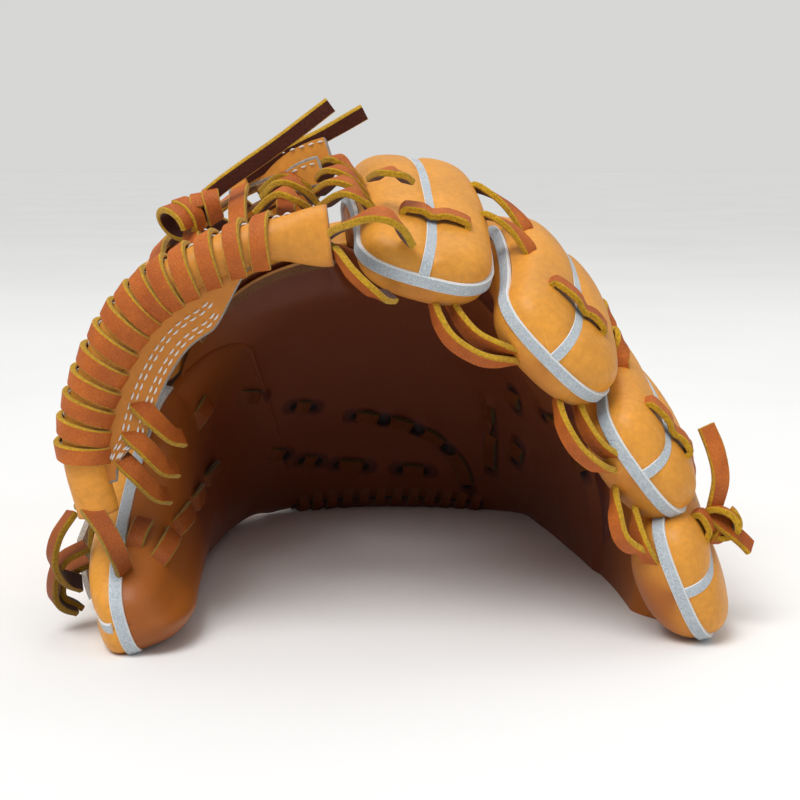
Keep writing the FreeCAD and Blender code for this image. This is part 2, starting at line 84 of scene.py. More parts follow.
# -------------------- the dome
def along(values, t):
    """Smooth curve through evenly spaced values, for t from 0 to 1."""
    v = np.asarray(values, float)
    last = len(v) - 1
    x = np.clip(np.asarray(t, float), 0, 1) * last
    i = np.minimum(x.astype(int), last - 1)
    f = x - i
    slope = np.empty_like(v)
    slope[0], slope[-1] = v[1] - v[0], v[-1] - v[-2]
    slope[1:-1] = (v[2:] - v[:-2]) / 2
    return (
        (2 * f**3 - 3 * f**2 + 1) * v[i]
        + (f**3 - 2 * f**2 + f) * slope[i]
        + (3 * f**2 - 2 * f**3) * v[i + 1]
        + (f**3 - f**2) * slope[i + 1]
    )


def ease(x):
    x = np.clip(x, 0, 1)
    return x * x * (3 - 2 * x)


def unit(v):
    return v / np.maximum(np.linalg.norm(v, axis=-1, keepdims=True), 1e-9)


def stack(x, y, z):
    return np.stack(np.broadcast_arrays(x, y, z), -1).astype(float)


def pocket(theta, t):
    theta, t = np.asarray(theta, float), np.asarray(t, float)
    angle = np.radians(theta)
    dip = np.sin(np.radians(along(EDGE_DIP, t)))
    rise = along(APEX_Z, t) / (1 + dip)
    share = (np.sin(angle) + dip) / (1 + dip)
    swell = BULGE_WEB * np.exp(-(((theta - BULGE_WEB_AT) / BULGE_WEB_SPREAD) ** 2))
    swell = swell - FLAT_RING * np.exp(-(((theta - FLAT_RING_AT) / FLAT_RING_SPREAD) ** 2))
    scale = 1 + ease(t / CREASE_T) * swell
    edge_y = along(EDGE_Y, t)
    return stack(
        along(CENTRE_X, t) + along(HALF_WIDTH, t) * np.cos(angle) * scale,
        edge_y + (along(APEX_Y, t) - edge_y) * share,
        rise * (np.sin(angle) * scale + dip),
    )


def directions(theta, t):
    """Unit vectors across towards the thumb, along towards the tips, and outwards."""
    theta, t = np.broadcast_arrays(np.asarray(theta, float), np.asarray(t, float))
    across = unit(pocket(theta + 0.1, t) - pocket(theta - 0.1, t))
    forward = unit(pocket(theta, t + 0.001) - pocket(theta, t - 0.001))
    return across, forward, unit(np.cross(across, forward))


def at(theta, t, d):
    return pocket(theta, t) + directions(theta, t)[2] * np.asarray(d, float)[..., None]


def thickness(theta, t):
    edge = along(THICK_EDGE, t)
    return edge + (along(THICK_MIDDLE, t) - edge) * np.maximum(np.sin(np.radians(theta)), 0) ** 1.5


def table_theta(t, little_side):
    dip = along(EDGE_DIP, t)
    return -dip if little_side else 180 + dip


def catmull(points, count):
    """A smooth curve through the points, sampled count times."""
    p = np.asarray(points, float)
    if len(p) == 2:
        return p[0] + (p[1] - p[0]) * np.linspace(0, 1, count)[:, None]
    return np.stack([along(p[:, k], np.linspace(0, 1, count)) for k in range(p.shape[1])], -1)


# -------------------- materials
DULL = 0.28             # leather and felt shine less than plastic, for which the shader's own value is 0.5


class Nodes:
    """A small helper that builds a node tree."""

    def __init__(self, name):
        self.material = bpy.data.materials.new(name)
        self.material.use_nodes = True
        self.tree = self.material.node_tree
        self.shader = self.tree.nodes["Principled BSDF"]
        self.place = self.new("ShaderNodeTexCoord").outputs["Object"]

    def new(self, kind, **values):
        node = self.tree.nodes.new(kind)
        for key, value in values.items():
            if hasattr(node, key):
                setattr(node, key, value)
            else:
                node.inputs[key.replace("_", " ")].default_value = value
        return node

    def link(self, a, b):
        self.tree.links.new(a, b)

    def noise(self, scale, detail=3.0, roughness=0.55, vector=None):
        node = self.new("ShaderNodeTexNoise", Scale=scale, Detail=detail, Roughness=roughness)
        self.link(vector or self.place, node.inputs["Vector"])
        return node.outputs["Fac"]

    def cells(self, scale, feature="F1", vector=None):
        node = self.new("ShaderNodeTexVoronoi", feature=feature, Scale=scale)
        self.link(vector or self.place, node.inputs["Vector"])
        return node.outputs["Distance"]

    def ramp(self, value, *stops):
        node = self.new("ShaderNodeValToRGB")
        elements = node.color_ramp.elements
        while len(elements) < len(stops):
            elements.new(0.5)
        for element, (position, colour) in zip(elements, stops):
            element.position = position
            element.color = colour if len(colour) == 4 else (*colour, 1)
        self.link(value, node.inputs["Fac"])
        return node.outputs["Color"]

    def span(self, value, low, high, out_low=0.0, out_high=1.0):
        node = self.new("ShaderNodeMapRange")
        for key, number in zip(("From Min", "From Max", "To Min", "To Max"), (low, high, out_low, out_high)):
            node.inputs[key].default_value = number
        self.link(value, node.inputs["Value"])
        return node.outputs["Result"]

    def maths(self, operation, a, b):
        node = self.new("ShaderNodeMath", operation=operation)
        for value, socket in ((a, node.inputs[0]), (b, node.inputs[1])):
            if isinstance(value, (int, float)):
                socket.default_value = value
            else:
                self.link(value, socket)
        return node.outputs[0]

    def mix(self, factor, a, b, blend="MIX"):
        node = self.new("ShaderNodeMix", data_type="RGBA", blend_type=blend)
        sockets = {s.identifier: s for s in node.inputs}
        for value, key in ((factor, "Factor_Float"), (a, "A_Color"), (b, "B_Color")):
            if isinstance(value, (int, float)):
                sockets[key].default_value = value
            elif isinstance(value, tuple):
                sockets[key].default_value = (*value, 1)
            else:
                self.link(value, sockets[key])
        return next(s for s in node.outputs if s.identifier == "Result_Color")

    def attribute(self, name):
        return self.new("ShaderNodeAttribute", attribute_name=name).outputs["Fac"]

    def finish(self, colour, roughness, height, distance, strength=0.6, sheen=0.0, coat=0.0):
        self.link(colour, self.shader.inputs["Base Color"])
        if isinstance(roughness, float):
            self.shader.inputs["Roughness"].default_value = roughness
        else:
            self.link(roughness, self.shader.inputs["Roughness"])
        self.shader.inputs["Sheen Weight"].default_value = sheen
        self.shader.inputs["Coat Weight"].default_value = coat
        self.shader.inputs["Coat Roughness"].default_value = 0.35
        self.shader.inputs["Specular IOR Level"].default_value = DULL
        bump = self.new("ShaderNodeBump", Strength=strength, Distance=distance)
        self.link(height, bump.inputs["Height"])
        self.link(bump.outputs["Normal"], self.shader.inputs["Normal"])
        return self.material


def shell_leather(name, light, deep, grain=0.16, rough=0.46):
    """Smooth steerhide: fine pebble grain, pores, cloudy colour, paler worn edges, painted shade in its
    hollows, and painted shade from the shade attribute.
    """
    m = Nodes(name)
    clouds = m.noise(28, 5, 0.6)
    fine = m.noise(420, 4, 0.6)
    dim, bright = tuple(0.86 * c for c in light), tuple(min(1.1 * c, 1) for c in light)
    base = m.mix(m.span(clouds, 0.3, 0.7), dim, bright)
    base = m.mix(m.span(fine, 0.35, 0.75, 0, 0.22), base, deep)
    geometry = m.new("ShaderNodeNewGeometry")
    edges = m.span(geometry.outputs["Pointiness"], 0.52, 0.60, 0, 0.35)
    base = m.mix(edges, base, tuple(min(1.35 * c + 0.03, 1) for c in light))
    # Painted shade: the mesh's hollows darkened towards the deep colour.
    hollow_shade = m.span(geometry.outputs["Pointiness"], 0.485, 0.42, 0, 0.55)
    base = m.mix(hollow_shade, base, deep)
    # Painted shade from the shade attribute: the pocket's shade through a half-shade tone to deep brown, and
    # above 1 the black shadow of the lace holes.
    base = m.mix(m.span(m.attribute("shade"), 0, 0.5), base, SHADE_HALF_TONE)
    base = m.mix(m.span(m.attribute("shade"), 0.3, 1), base, deep)
    base = m.mix(m.span(m.attribute("shade"), 1, 2), base, HOLE_SHADOW)
    pebbles = m.cells(620, "SMOOTH_F1")
    pores = m.cells(1500)
    creases = m.noise(95, 6, 0.62)
    height = m.maths("ADD", m.maths("MULTIPLY", pebbles, 0.55), m.maths("MULTIPLY", fine, 0.5))
    height = m.maths("ADD", height, m.maths("MULTIPLY", m.span(pores, 0.0, 0.25), 0.18))
    height = m.maths("ADD", height, m.maths("MULTIPLY", creases, 0.9))
    gloss = m.span(clouds, 0.2, 0.8, rough - 0.07, rough + 0.1)
    return m.finish(base, gloss, height, grain * MM, 0.75, coat=0.08)


def suede(name, light, dark, fuzz=0.35, scale=900):
    m = Nodes(name)
    nap = m.noise(scale, 6, 0.7)
    patches = m.noise(90, 3)
    colour = m.mix(m.span(nap, 0.3, 0.7), dark, light)
    colour = m.mix(m.span(patches, 0.35, 0.75, 0, 0.35), colour, dark)
    # Painted shade from the shade attribute, towards a very dark tone.
    colour = m.mix(m.attribute("shade"), colour, tuple(0.12 * c for c in dark))
    return m.finish(colour, 0.92, nap, fuzz * MM, 0.9, sheen=0.15)


def lace_grain(name, light, dark):
    """The smooth face of a rawhide lace, with creases across it and dark cracks."""
    m = Nodes(name)
    clouds = m.noise(60, 4)
    wrinkle = m.noise(420, 5, 0.65)
    cracks = m.cells(700, "DISTANCE_TO_EDGE")
    colour = m.mix(m.span(clouds, 0.3, 0.7), light, dark)
    colour = m.mix(m.span(cracks, 0.05, 0.0, 0, 0.4), colour, tuple(0.4 * c for c in dark))
    colour = m.mix(m.span(wrinkle, 0.55, 0.8, 0, 0.3), colour, tuple(min(c * 1.5, 1) for c in light))
    # Painted shade from the shade attribute, towards a dark tone.
    colour = m.mix(m.attribute("shade"), colour, tuple(0.32 * c for c in dark))
    height = m.maths("ADD", wrinkle, m.maths("MULTIPLY", m.span(cracks, 0, 0.12), 0.6))
    return m.finish(colour, 0.55, height, 0.22 * MM, 0.8)


def thread(name, colour):
    m = Nodes(name)
    strands = m.new("ShaderNodeTexWave", Scale=900.0, Distortion=1.5)
    m.link(m.place, strands.inputs["Vector"])
    tint = m.mix(m.span(strands.outputs["Fac"], 0, 1), tuple(0.75 * c for c in colour), colour)
    return m.finish(tint, 0.7, strands.outputs["Fac"], 0.1 * MM, 0.7)


TAN = (0.74, 0.315, 0.038)
# Dark brown: the grain's darker tone, and the painted shade deep in the pocket and in the leather's hollows.
DEEP = (0.135, 0.0275, 0.0130)
# Painted half shade: a saturated orange-brown between the tan and the deep shade.
SHADE_HALF_TONE = (0.42, 0.125, 0.012)
# Painted shadow: near black, where a lace goes through its hole.
HOLE_SHADOW = (0.006, 0.003, 0.003)
M_SHELL = shell_leather("shell_leather", TAN, DEEP)
M_TRIM = shell_leather("trim_leather", (0.74, 0.305, 0.038), DEEP, 0.12, 0.5)
M_LINING = shell_leather("lining_leather", (0.50, 0.24, 0.075), (0.10, 0.035, 0.012), 0.12, 0.6)
M_FLESH = suede("leather_flesh_side", (0.34, 0.17, 0.07), (0.17, 0.07, 0.025))
M_RAW = suede("leather_cut_edge", (0.50, 0.47, 0.42), (0.25, 0.21, 0.17))
M_WELT = suede("welting_suede", (0.66, 0.715, 0.74), (0.31, 0.36, 0.41), 0.5, 1300)
M_WELT_EDGE = suede("welting_edge", (0.86, 0.88, 0.88), (0.60, 0.62, 0.62), 0.5, 1500)
M_LACE = lace_grain("lace_grain", (0.56, 0.145, 0.018), (0.36, 0.075, 0.010))
M_LACE_EDGE = suede("lace_cut_edge", (0.74, 0.44, 0.012), (0.28, 0.135, 0.006), 0.45, 1100)
M_LACE_FLESH = suede("lace_flesh_side", (0.105, 0.022, 0.010), (0.045, 0.009, 0.004))
M_THREAD = thread("white_thread", (0.86, 0.84, 0.78))
M_THREAD_TAN = thread("tan_thread", (0.62, 0.30, 0.09))
M_FELT = suede("wool_felt", (0.70, 0.66, 0.58), (0.48, 0.44, 0.38), 0.5, 700)
M_BOARD = suede("stiffener_board", (0.75, 0.75, 0.72), (0.62, 0.62, 0.6), 0.05, 200)

SHELL = (M_SHELL, M_FLESH, M_SHELL)
TRIM = (M_TRIM, M_FLESH, M_RAW)
WELTING = (M_WELT, M_WELT, M_WELT_EDGE)
LACE = (M_LACE, M_LACE_FLESH, M_LACE_EDGE)
LINING = (M_LINING, M_FLESH, M_LINING)


# -------------------- meshes
def build(name, points, faces, materials, slots=None, shade=None, sharp=35):
    mesh = bpy.data.meshes.new(name)
    mesh.from_pydata(((np.asarray(points) + SHIFT) * MM).tolist(), [], [tuple(map(int, f)) for f in faces])
    for material in materials:
        mesh.materials.append(material)
    if slots is not None:
        mesh.polygons.foreach_set("material_index", np.asarray(slots, np.int32))
    attribute = mesh.attributes.new("shade", "FLOAT", "POINT")
    values = np.zeros(len(points), np.float32) if shade is None else np.asarray(shade, np.float32)
    attribute.data.foreach_set("value", values)
    mesh.polygons.foreach_set("use_smooth", np.ones(len(faces), bool))
    mesh.set_sharp_from_angle(angle=math.radians(sharp))
    mesh.update()
    piece = bpy.data.objects.new(name, mesh)
    bpy.context.scene.collection.objects.link(piece)
    return piece


RIM_ANGLES = np.radians((50, 0, -50))
RIM_REACH = 0.9         # how round a sheet's edge is: 1 is half a circle


def strip(index, around=False):
    """The quads of a grid of point numbers. around joins its last column to the first."""
    nxt = np.roll(index, -1, axis=1)
    left, right = (index, nxt) if around else (index[:, :-1], nxt[:, :-1])
    return np.stack([left[:-1], left[1:], right[1:], right[:-1]], -1).reshape(-1, 4)


def square(vectors, axes):
    """Unit vectors made square to the axes."""
    return unit(vectors - axes * (vectors * axes).sum(-1, keepdims=True))


def slab(name, face, back, materials, shade=None):
    """A sheet of leather between two grids, with rounded edges. face is the side that shows."""
    rows, columns = face.shape[:2]
    index = np.arange(rows * columns).reshape(rows, columns)
    points = [face.reshape(-1, 3), back.reshape(-1, 3)]
    quads = strip(index)
    faces = [quads, quads[:, ::-1] + rows * columns]
    slots = [np.zeros(len(quads)), np.ones(len(quads))]
    border = np.concatenate([index[0], index[1:, -1], index[-1, :-1][::-1], index[1:-1, 0][::-1]])
    inner = np.clip(np.stack(np.unravel_index(border, index.shape), -1), 1, (rows - 2, columns - 2))
    inside = index[inner[:, 0], inner[:, 1]]
    middle = (face + back).reshape(-1, 3) / 2
    half = (face - back).reshape(-1, 3)[border] / 2
    out = square(middle[border] - middle[inside], unit(half))
    reach = np.linalg.norm(half, axis=-1, keepdims=True)
    n = len(border)
    rings = [border]
    for k, angle in enumerate(RIM_ANGLES):
        points.append(middle[border] + half * np.sin(angle) + out * reach * np.cos(angle) * RIM_REACH)
        rings.append(np.arange(n) + 2 * rows * columns + k * n)
    rings.append(border + rows * columns)
    nxt = (np.arange(n) + 1) % n
    for p, q in zip(rings[:-1], rings[1:]):
        faces.append(np.stack([p, p[nxt], q[nxt], q], -1))
        slots.append(np.full(n, 2))
    if shade is not None:
        flat = shade.reshape(-1)
        shade = np.concatenate([flat, flat, *[flat[border]] * len(RIM_ANGLES)])
    return build(name, np.concatenate(points), np.concatenate(faces), materials, np.concatenate(slots), shade)


def shaft(grid, kinds, cap):
    """Points, faces and slots of a closed shaft through rings of points. kinds are the slots round it."""
    rows, count = grid.shape[:2]
    index = np.arange(rows * count).reshape(rows, count)
    faces = [tuple(q) for q in strip(index, True)[:, (0, 3, 2, 1)]]
    faces += [tuple(index[0][::-1]), tuple(index[-1])]
    return grid.reshape(-1, 3), faces, list(np.tile(kinds, rows - 1)) + [cap, cap]


def ribbon_parts(points, normals, width, thick, wobble=0.0):
    """Points, faces and material slots of a flat lace. Slot 0 is the upper face, 1 the lower, 2 the edges."""
    n = len(points)
    way = unit(np.gradient(points, axis=0))
    normals = square(normals, way)
    side = np.cross(way, normals)
    widths = np.full(n, float(width))
    if wobble:
        knots = max(n // 4, 2)
        widths += wobble * np.interp(np.arange(n), np.linspace(0, n - 1, knots), rng.uniform(-1, 1, knots))
    half = (widths / 2)[:, None]
    h = thick / 2
    c = thick * 0.18
    corners = (
        (-1, 0, h - c), (-1, 0, c - h), (-1, c, -h), (1, c, -h),
        (1, 0, c - h), (1, 0, h - c), (1, c, h), (-1, c, h),
    )
    rings = [points + side * (sign * (half - inset)) + normals * lift for sign, inset, lift in corners]
    return shaft(np.stack(rings, 1), (2, 2, 1, 2, 2, 2, 0, 2), 2)


def merge(name, parts, materials, shaded=False):
    """One piece from several parts. shaded gives it the same painted shade as the pocket's leather."""
    points, faces, slots = [], [], []
    base = 0
    for p, f, s in parts:
        points.append(p)
        faces += [tuple(i + base for i in face) for face in f]
        slots += list(s)
        base += len(p)
    points = np.concatenate(points)
    shade = cavity_shade(points) if shaded else None
    return build(name, points, faces, materials, slots, shade, 40)


LACE_W, LACE_T = 7.0, 2.5
LACE_WOBBLE = 0.2
DIVE = 3.5              # how deep a run of palm lace ends under the leather


def lace(points, normals, width=LACE_W, thick=LACE_T):
    """One lace through control points, its upper face turned to the normals."""
    length = np.linalg.norm(np.diff(np.asarray(points, float), axis=0), axis=-1).sum()
    count = max(int(length / 1.6), 8)
    return ribbon_parts(catmull(points, count), catmull(normals, count), width, thick, 0.25)


def along_way(points):
    """The distance of each point of a path from its start."""
    return np.concatenate([[0], np.cumsum(np.linalg.norm(np.diff(points, axis=0), axis=-1))])


def dome_run(places, lift):
    """A visible run of lace over the dome's pocket face, both ends diving through holes."""
    count = max(10, 6 * len(places))
    theta, t = catmull(places, count).T
    points, out = pocket(theta, t), directions(theta, t)[2]
    way = np.linspace(0, 1, count)
    ends = np.minimum(way, 1 - way) * along_way(points)[-1]
    rise = (DIVE + lift) * ease(ends / 4.5) - DIVE
    return ribbon_parts(points - out * rise[:, None], -out, LACE_W, LACE_T, LACE_WOBBLE)


def stitch_parts(points, normals, length=3.2, gap=1.3, radius=0.42):
    """A row of thread stitches along a path, each a small capsule sunk at its ends."""
    reach = along_way(points)
    parts = []
    position = 0.5
    while position + length < reach[-1]:
        f = np.linspace(position, position + length, 6)
        p = np.stack([np.interp(f, reach, points[:, k]) for k in range(3)], -1)
        n = unit(np.stack([np.interp(f, reach, normals[:, k]) for k in range(3)], -1))
        bow = np.sin(np.linspace(0, np.pi, 6))
        p = p + n * ((bow - 0.35) * radius * 1.3)[:, None]
        side = np.cross(unit(np.gradient(p, axis=0)), n)
        r = radius * (0.45 + 0.55 * bow)
        rings = [p + (side * math.cos(a) + n * math.sin(a)) * r[:, None] for a in np.arange(6) * np.pi / 3]
        parts.append(shaft(np.stack(rings, 1), [0] * 6, 0))
        position += length + gap
    return parts


def grids(rows, columns, low=(0, 0), high=(1, 1)):
    """Two grids of numbers, each spaced evenly from low to high."""
    spans = [np.linspace(a, b, count) for a, b, count in zip(low, high, (rows, columns))]
    return np.meshgrid(*spans, indexing="ij")


# -------------------- stalls
def near_heel(t):
    """1 towards the heel, where the thumb's sheets run on into the palm and the back, and 0 at its tip."""
    return 1 - ease((t - 0.48) / 0.13)


def rounded(v):
    """Station and scale of a stall's round end, for v up to 1 at the tip."""
    v = np.asarray(v, float)
    angle = np.clip((v - CAP_START) / (1 - CAP_START), 0, 1) * np.radians(88)
    station = np.where(v > CAP_START, CAP_START + (1 - CAP_START) * np.sin(angle), v)
    return station, np.cos(angle) ** CAP_POWER


def cross_section(c, psi):
    """How far across and how far out a point of a stall's rounded outline is, from -1 to 1 and 0 to 1."""
    return np.sign(c) * np.abs(c) ** 0.8, np.sin(psi) ** 0.8


def capped(low, count):
    """Places along a stall from low to the tip, closer together in the round end."""
    return np.concatenate([np.linspace(low, CAP_START, count), np.linspace(CAP_START, 1, 26)[1:]])


def turned_out(line, ups, middle):
    """Directions square to a seam line and its ups that look away from the middle."""
    outward = unit(np.cross(unit(np.gradient(line, axis=0)), ups))
    flip = ((line - middle) * outward).sum(-1, keepdims=True) < 0
    return np.where(flip, -outward, outward)


class Stall:
    """A finger's stall. v runs from behind the knuckle (below 0) to the tip (1), and psi round the stall."""

    KNUCKLE = 0.43          # t per u behind the crease
    CURVED = 0.16           # the u up to which a stall follows the dome's curve
    PADDING = {"index": 1.0, "middle": 2.0, "ring": 3.5, "little": 5.5}     # how far the front swells
    ROOT = {"index": 13.4, "middle": 13.6, "ring": 12.6, "little": 14.0}    # the same at the crease
    SPREAD = 13.9           # degrees to each side at the knuckle

    def __init__(self, name):
        self.name = name
        self.theta, tip, slope, self.w0, self.w1, self.t0, self.t1 = FINGERS[name]
        self.start = at(self.theta, CREASE_T, self.t0 / 2)
        self.across0, self.forward0, self.out0 = directions(self.theta, CREASE_T)
        sine, cosine = math.sin(math.radians(slope)), math.cos(math.radians(slope))
        self.across1 = np.array([-cosine, 0, sine])
        out1 = np.array([sine, 0, cosine])
        self.end = np.array(tip, float)
        self.forward1 = unit(np.array([0, -1, 0]) - out1 * TIP_CURL)
        self.reach = np.linalg.norm(self.end - self.start) * 1.05

    def frames(self, u):
        """Centre, across, out, forward, half width and half thickness at each u."""
        u = np.asarray(u, float)
        x = np.clip(u, 0, 1)[:, None]
        centre = (
            self.start * (2 * x**3 - 3 * x**2 + 1)
            + self.forward0 * (self.reach * (x**3 - 2 * x**2 + x))
            + self.end * (3 * x**2 - 2 * x**3)
            + self.forward1 * (self.reach * (x**3 - x**2))
        )
        forward = unit(
            (self.end - self.start) * (6 * x - 6 * x**2)
            + self.forward0 * (self.reach * (3 * x**2 - 4 * x + 1))
            + self.forward1 * (self.reach * (3 * x**2 - 2 * x))
        )
        k = ease(x)
        across = self.across0 * (1 - k) + self.across1 * k
        across = square(across, forward)
        width = self.w0 + (self.w1 - self.w0) * k[:, 0]
        height = (self.t0 + (self.t1 - self.t0) * k[:, 0]) / 2
        back = u < 0
        if back.any():
            t = CREASE_T + u[back] * self.KNUCKLE
            thick = thickness(self.theta, t)
            across[back], forward[back], _ = directions(self.theta, t)
            centre[back] = at(self.theta, t, thick / 2)
            height[back] = thick / 2
        return centre, across, np.cross(across, forward), forward, width, height

    def skin(self, v, psi, side, inset=0.0):
        """Points on the stall: side 1 is the back of the hand, -1 the pocket. psi 0 is towards the thumb."""
        u, cap = rounded(v[:, 0])
        centre, across, out, forward, width, height = self.frames(u)
        width, height, cap = width * cap, height * cap, cap[:, None]
        flat, swell = cross_section(np.cos(psi), psi)
        w, h = (width - inset)[:, None], np.maximum(height - inset, SEAM + 0.2)[:, None]
        uu = u[:, None]
        if side > 0:
            root = 0.80 * ease((0.16 - uu) / 0.40)
        else:
            root = 0.96 * ease((0.10 - uu) / 0.16)
        base = SEAM + (h - SEAM) * root
        n = base + (h - base) * swell
        if side > 0:
            valley = np.exp(-((w * flat / VALLEY) ** 2)) * ease((uu + 0.5) / 0.1)
            puff = np.sin(2 * np.clip(np.abs(psi - np.pi / 2), 0, np.pi / 2)) * 1.4
            n = n + (puff - 1.6 * valley) * np.clip(cap, 0.2, 1) * (1 - 0.5 * root)
        else:
            n = n + self.PADDING[self.name] * np.sin(psi) ** 2 * ease(uu / 0.3) * cap
        straight = centre[:, None] + across[:, None] * (w * flat)[..., None]
        straight = straight + out[:, None] * (side * n)[..., None]
        straight = straight - forward[:, None] * (inset * np.sqrt(np.clip(1 - cap**2, 0, 1)))[..., None]
        if (u < self.CURVED).any():
            t = CREASE_T + np.minimum(u, self.CURVED)[:, None] * self.KNUCKLE
            grow = ease(-uu / 0.25)
            degrees = self.ROOT[self.name] + (self.SPREAD - self.ROOT[self.name]) * grow
            theta = self.theta + degrees * flat
            half = thickness(theta, t) / 2
            d = half * (1 + side * (n / np.maximum(h, 1e-6))) - side * inset
            curved = at(theta, np.broadcast_to(t, theta.shape), d)
            k = ease((uu + 0.02) / 0.16)[..., None]
            straight = np.where(uu[..., None] < self.CURVED, curved * (1 - k) + straight * k, straight)
        return straight

    def outline(self):
        """The seam line round the tip: points, the outward direction, and the stall's own up direction."""
        v = capped(0.02, 45)
        centre, _, out, _, _, _ = self.frames(rounded(v)[0])
        seams = []
        for degrees in (1.0, 179.0):
            psi = np.full((len(v), 1), math.radians(degrees))
            seams.append((self.skin(v[:, None], psi, 1) + self.skin(v[:, None], psi, -1))[:, 0] / 2)
        line = np.concatenate([seams[0], seams[1][::-1]])
        ups = np.concatenate([out, out[::-1]])
        return line, turned_out(line, ups, np.concatenate([centre, centre[::-1]]))

    def ridge(self):
        """The centre seam on the back."""
        v = np.linspace(-0.42, 1.0, 70)[:, None]
        points = self.skin(v, np.full(v.shape, np.pi / 2), 1)[:, 0]
        _, across, out, _, _, _ = self.frames(rounded(v[:, 0])[0])
        normal = unit(np.cross(across, unit(np.gradient(points, axis=0))))
        normal = np.where((normal * out).sum(-1, keepdims=True) < 0, -normal, normal)
        return points + normal * SEAM_LIFT, normal


class Thumb:
    """The thumb's stall, which lies along the dome. v is the dome's t."""

    def edges(self, t):
        return along(THUMB_INNER, t), table_theta(t, False) - 1.2

    def skin(self, v, psi, side, inset=0.0):
        t, cap = rounded(v[:, 0])
        low, high = self.edges(t)
        join = near_heel(t)
        low = low + ((PALM_JOIN if side < 0 else BACK_JOIN) - low) * join
        middle, half = (low + high) / 2, (high - low) / 2 * cap
        half = half - np.degrees(inset / 95.0)
        flat, swell = cross_section(-np.cos(psi), psi)
        theta = middle[:, None] + half[:, None] * flat
        tt = np.broadcast_to(t[:, None], theta.shape)
        height = along(THUMB_THICK, t)[:, None] / 2
        h = np.maximum(height * cap[:, None] - inset, SEAM + 0.2)
        inner = np.clip(-flat, 0, 1) ** 0.5 * join[:, None]
        base = SEAM + (h - SEAM) * inner
        n = base + (h - base) * swell
        if side > 0:
            valley = np.exp(-((flat * half[:, None] * 1.6 / VALLEY) ** 2))
            n = n + (1.4 * np.sin(2 * np.abs(psi - np.pi / 2)) - 1.6 * valley) * cap[:, None] * (1 - inner)
            shell = thickness(theta, tt)
            climb = ease((middle[:, None] - theta) / np.maximum(half[:, None], 1e-3)) * join[:, None]
            d = height + n + (shell - inset - height - n) * climb
        else:
            tip = ease((tt - 0.45) / 0.35) * cap[:, None]
            low_pad = ease((psi - 1.35) / 0.9) * (1 - ease((psi - 2.75) / 0.38))
            early = ease((tt - 0.10) / 0.60) * cap[:, None]
            d = height - n - 6.0 * np.sin(psi) * tip - 7.0 * low_pad * early
            d = d + 1.0 * (1 - join[:, None]) * (1 - np.sin(psi))
        reach = inset * np.sqrt(np.clip(1 - cap**2, 0, 1))
        points = at(theta, tt, d)
        points = points - directions(middle, t)[1][:, None] * reach[:, None, None]
        return self.stretch(points, tt)

    @staticmethod
    def stretch(points, t):
        """Draws the tip out, away from the heel, past the end of the dome."""
        pull = ease((np.asarray(t) - 0.55) / 0.45)[..., None]
        return points + pull * np.array([6.0, -15.5, 0.0])

    def outline(self):
        lines, ups, middles = [], [], []
        for v, sign in ((capped(0.60, 40), -1), (capped(0.10, 60), 1)):
            t, cap = rounded(v)
            inner, outer = self.edges(t)
            middle = (inner + outer) / 2
            theta = middle + sign * (outer - inner) / 2 * cap
            height = along(THUMB_THICK, t) / 2
            lines.append(self.stretch(at(theta, t, height), t)[::-sign])
            ups.append(directions(theta, t)[2][::-sign])
            middles.append(self.stretch(at(middle, t, height), t)[::-sign])
        line = np.concatenate(lines)
        return line, turned_out(line, np.concatenate(ups), np.concatenate(middles))

    def ridge(self):
        v = np.linspace(0.20, 0.99, 80)[:, None]
        points = self.skin(v, np.full(v.shape, np.pi / 2), 1)[:, 0]
        t = rounded(v[:, 0])[0]
        out = directions(sum(self.edges(t)) / 2, t)[2]
        normal = square(out, unit(np.gradient(points, axis=0)))
        return points + normal * SEAM_LIFT, normal


def soften(points, amount=0.5, scale=26.0, seed=0):
    """Gentle unevenness of leather: a smooth made-up field added along the surface normal."""
    r = np.random.default_rng(seed)
    normal = unit(np.cross(np.gradient(points, axis=0), np.gradient(points, axis=1)))
    value = np.zeros(points.shape[:2])
    for _ in range(7):
        k = r.normal(0, 1, 3) / scale * 2.2
        value += np.sin(points @ k + r.uniform(0, 6.3))
    return points + normal * (value * amount / 3.5)[..., None]


def above_table(points, height=0.3):
    """Flattens what would reach below the table the glove rests on."""
    points[..., 2] = np.maximum(points[..., 2], height)
    return points


def cavity_shade(points):
    """Painted shade on the pocket's leather: 0 at the tips, rising towards the heel, and more low down near
    the table, most on the thumb's side.
    """
    x, y, z = np.moveaxis(points, -1, 0)
    left = 1 - 0.25 * ease((-x - 60) / 40)
    low = 0.30 * ease((70 - z) / 90) + 0.30 * ease((-60 - x) / 30) * ease((90 - z) / 60)
    return np.clip(0.10 + low + 0.80 * ease((y + 118) / 150) * left, 0, 0.93)


# -------------------- building and riding
def spot(point):
    """A point of the dome's frame as a point of the row's frame."""
    return tuple(float(x) for x in (np.asarray(point, float) + SHIFT) * MM)


THUMB = Thumb()
STALLS = {name: Stall(name) for name in FINGERS}
# What a piece that crosses a joint lies between: the fixed body, the moving body, and where the bend is. Such
# a piece is not bent here.
BENDS = {
    "thumb": ("palm", "thumb_side", at(134, 0.3, 5), at(152, 0.3, 5)),
    "little_side": ("palm", "little_finger_side", at(50, 0.3, 5), at(41, 0.3, 5)),
}
for root, names in (("palm", ("index", "middle")), ("little_finger_side", ("ring", "little"))):
    for name in names:
        BENDS[name] = (root, name + "_finger", *STALLS[name].frames(np.array([-0.08, 0.10]))[0])


def place(piece, where, *nodes):
    """Leaves a piece that crosses a joint where it is built, or lets it ride on a body, and hides the CAD
    nodes it stands for.
    """
    if where in BENDS:
        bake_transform(piece)
    else:
        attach(piece, where)
    if nodes:
        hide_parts(*nodes)


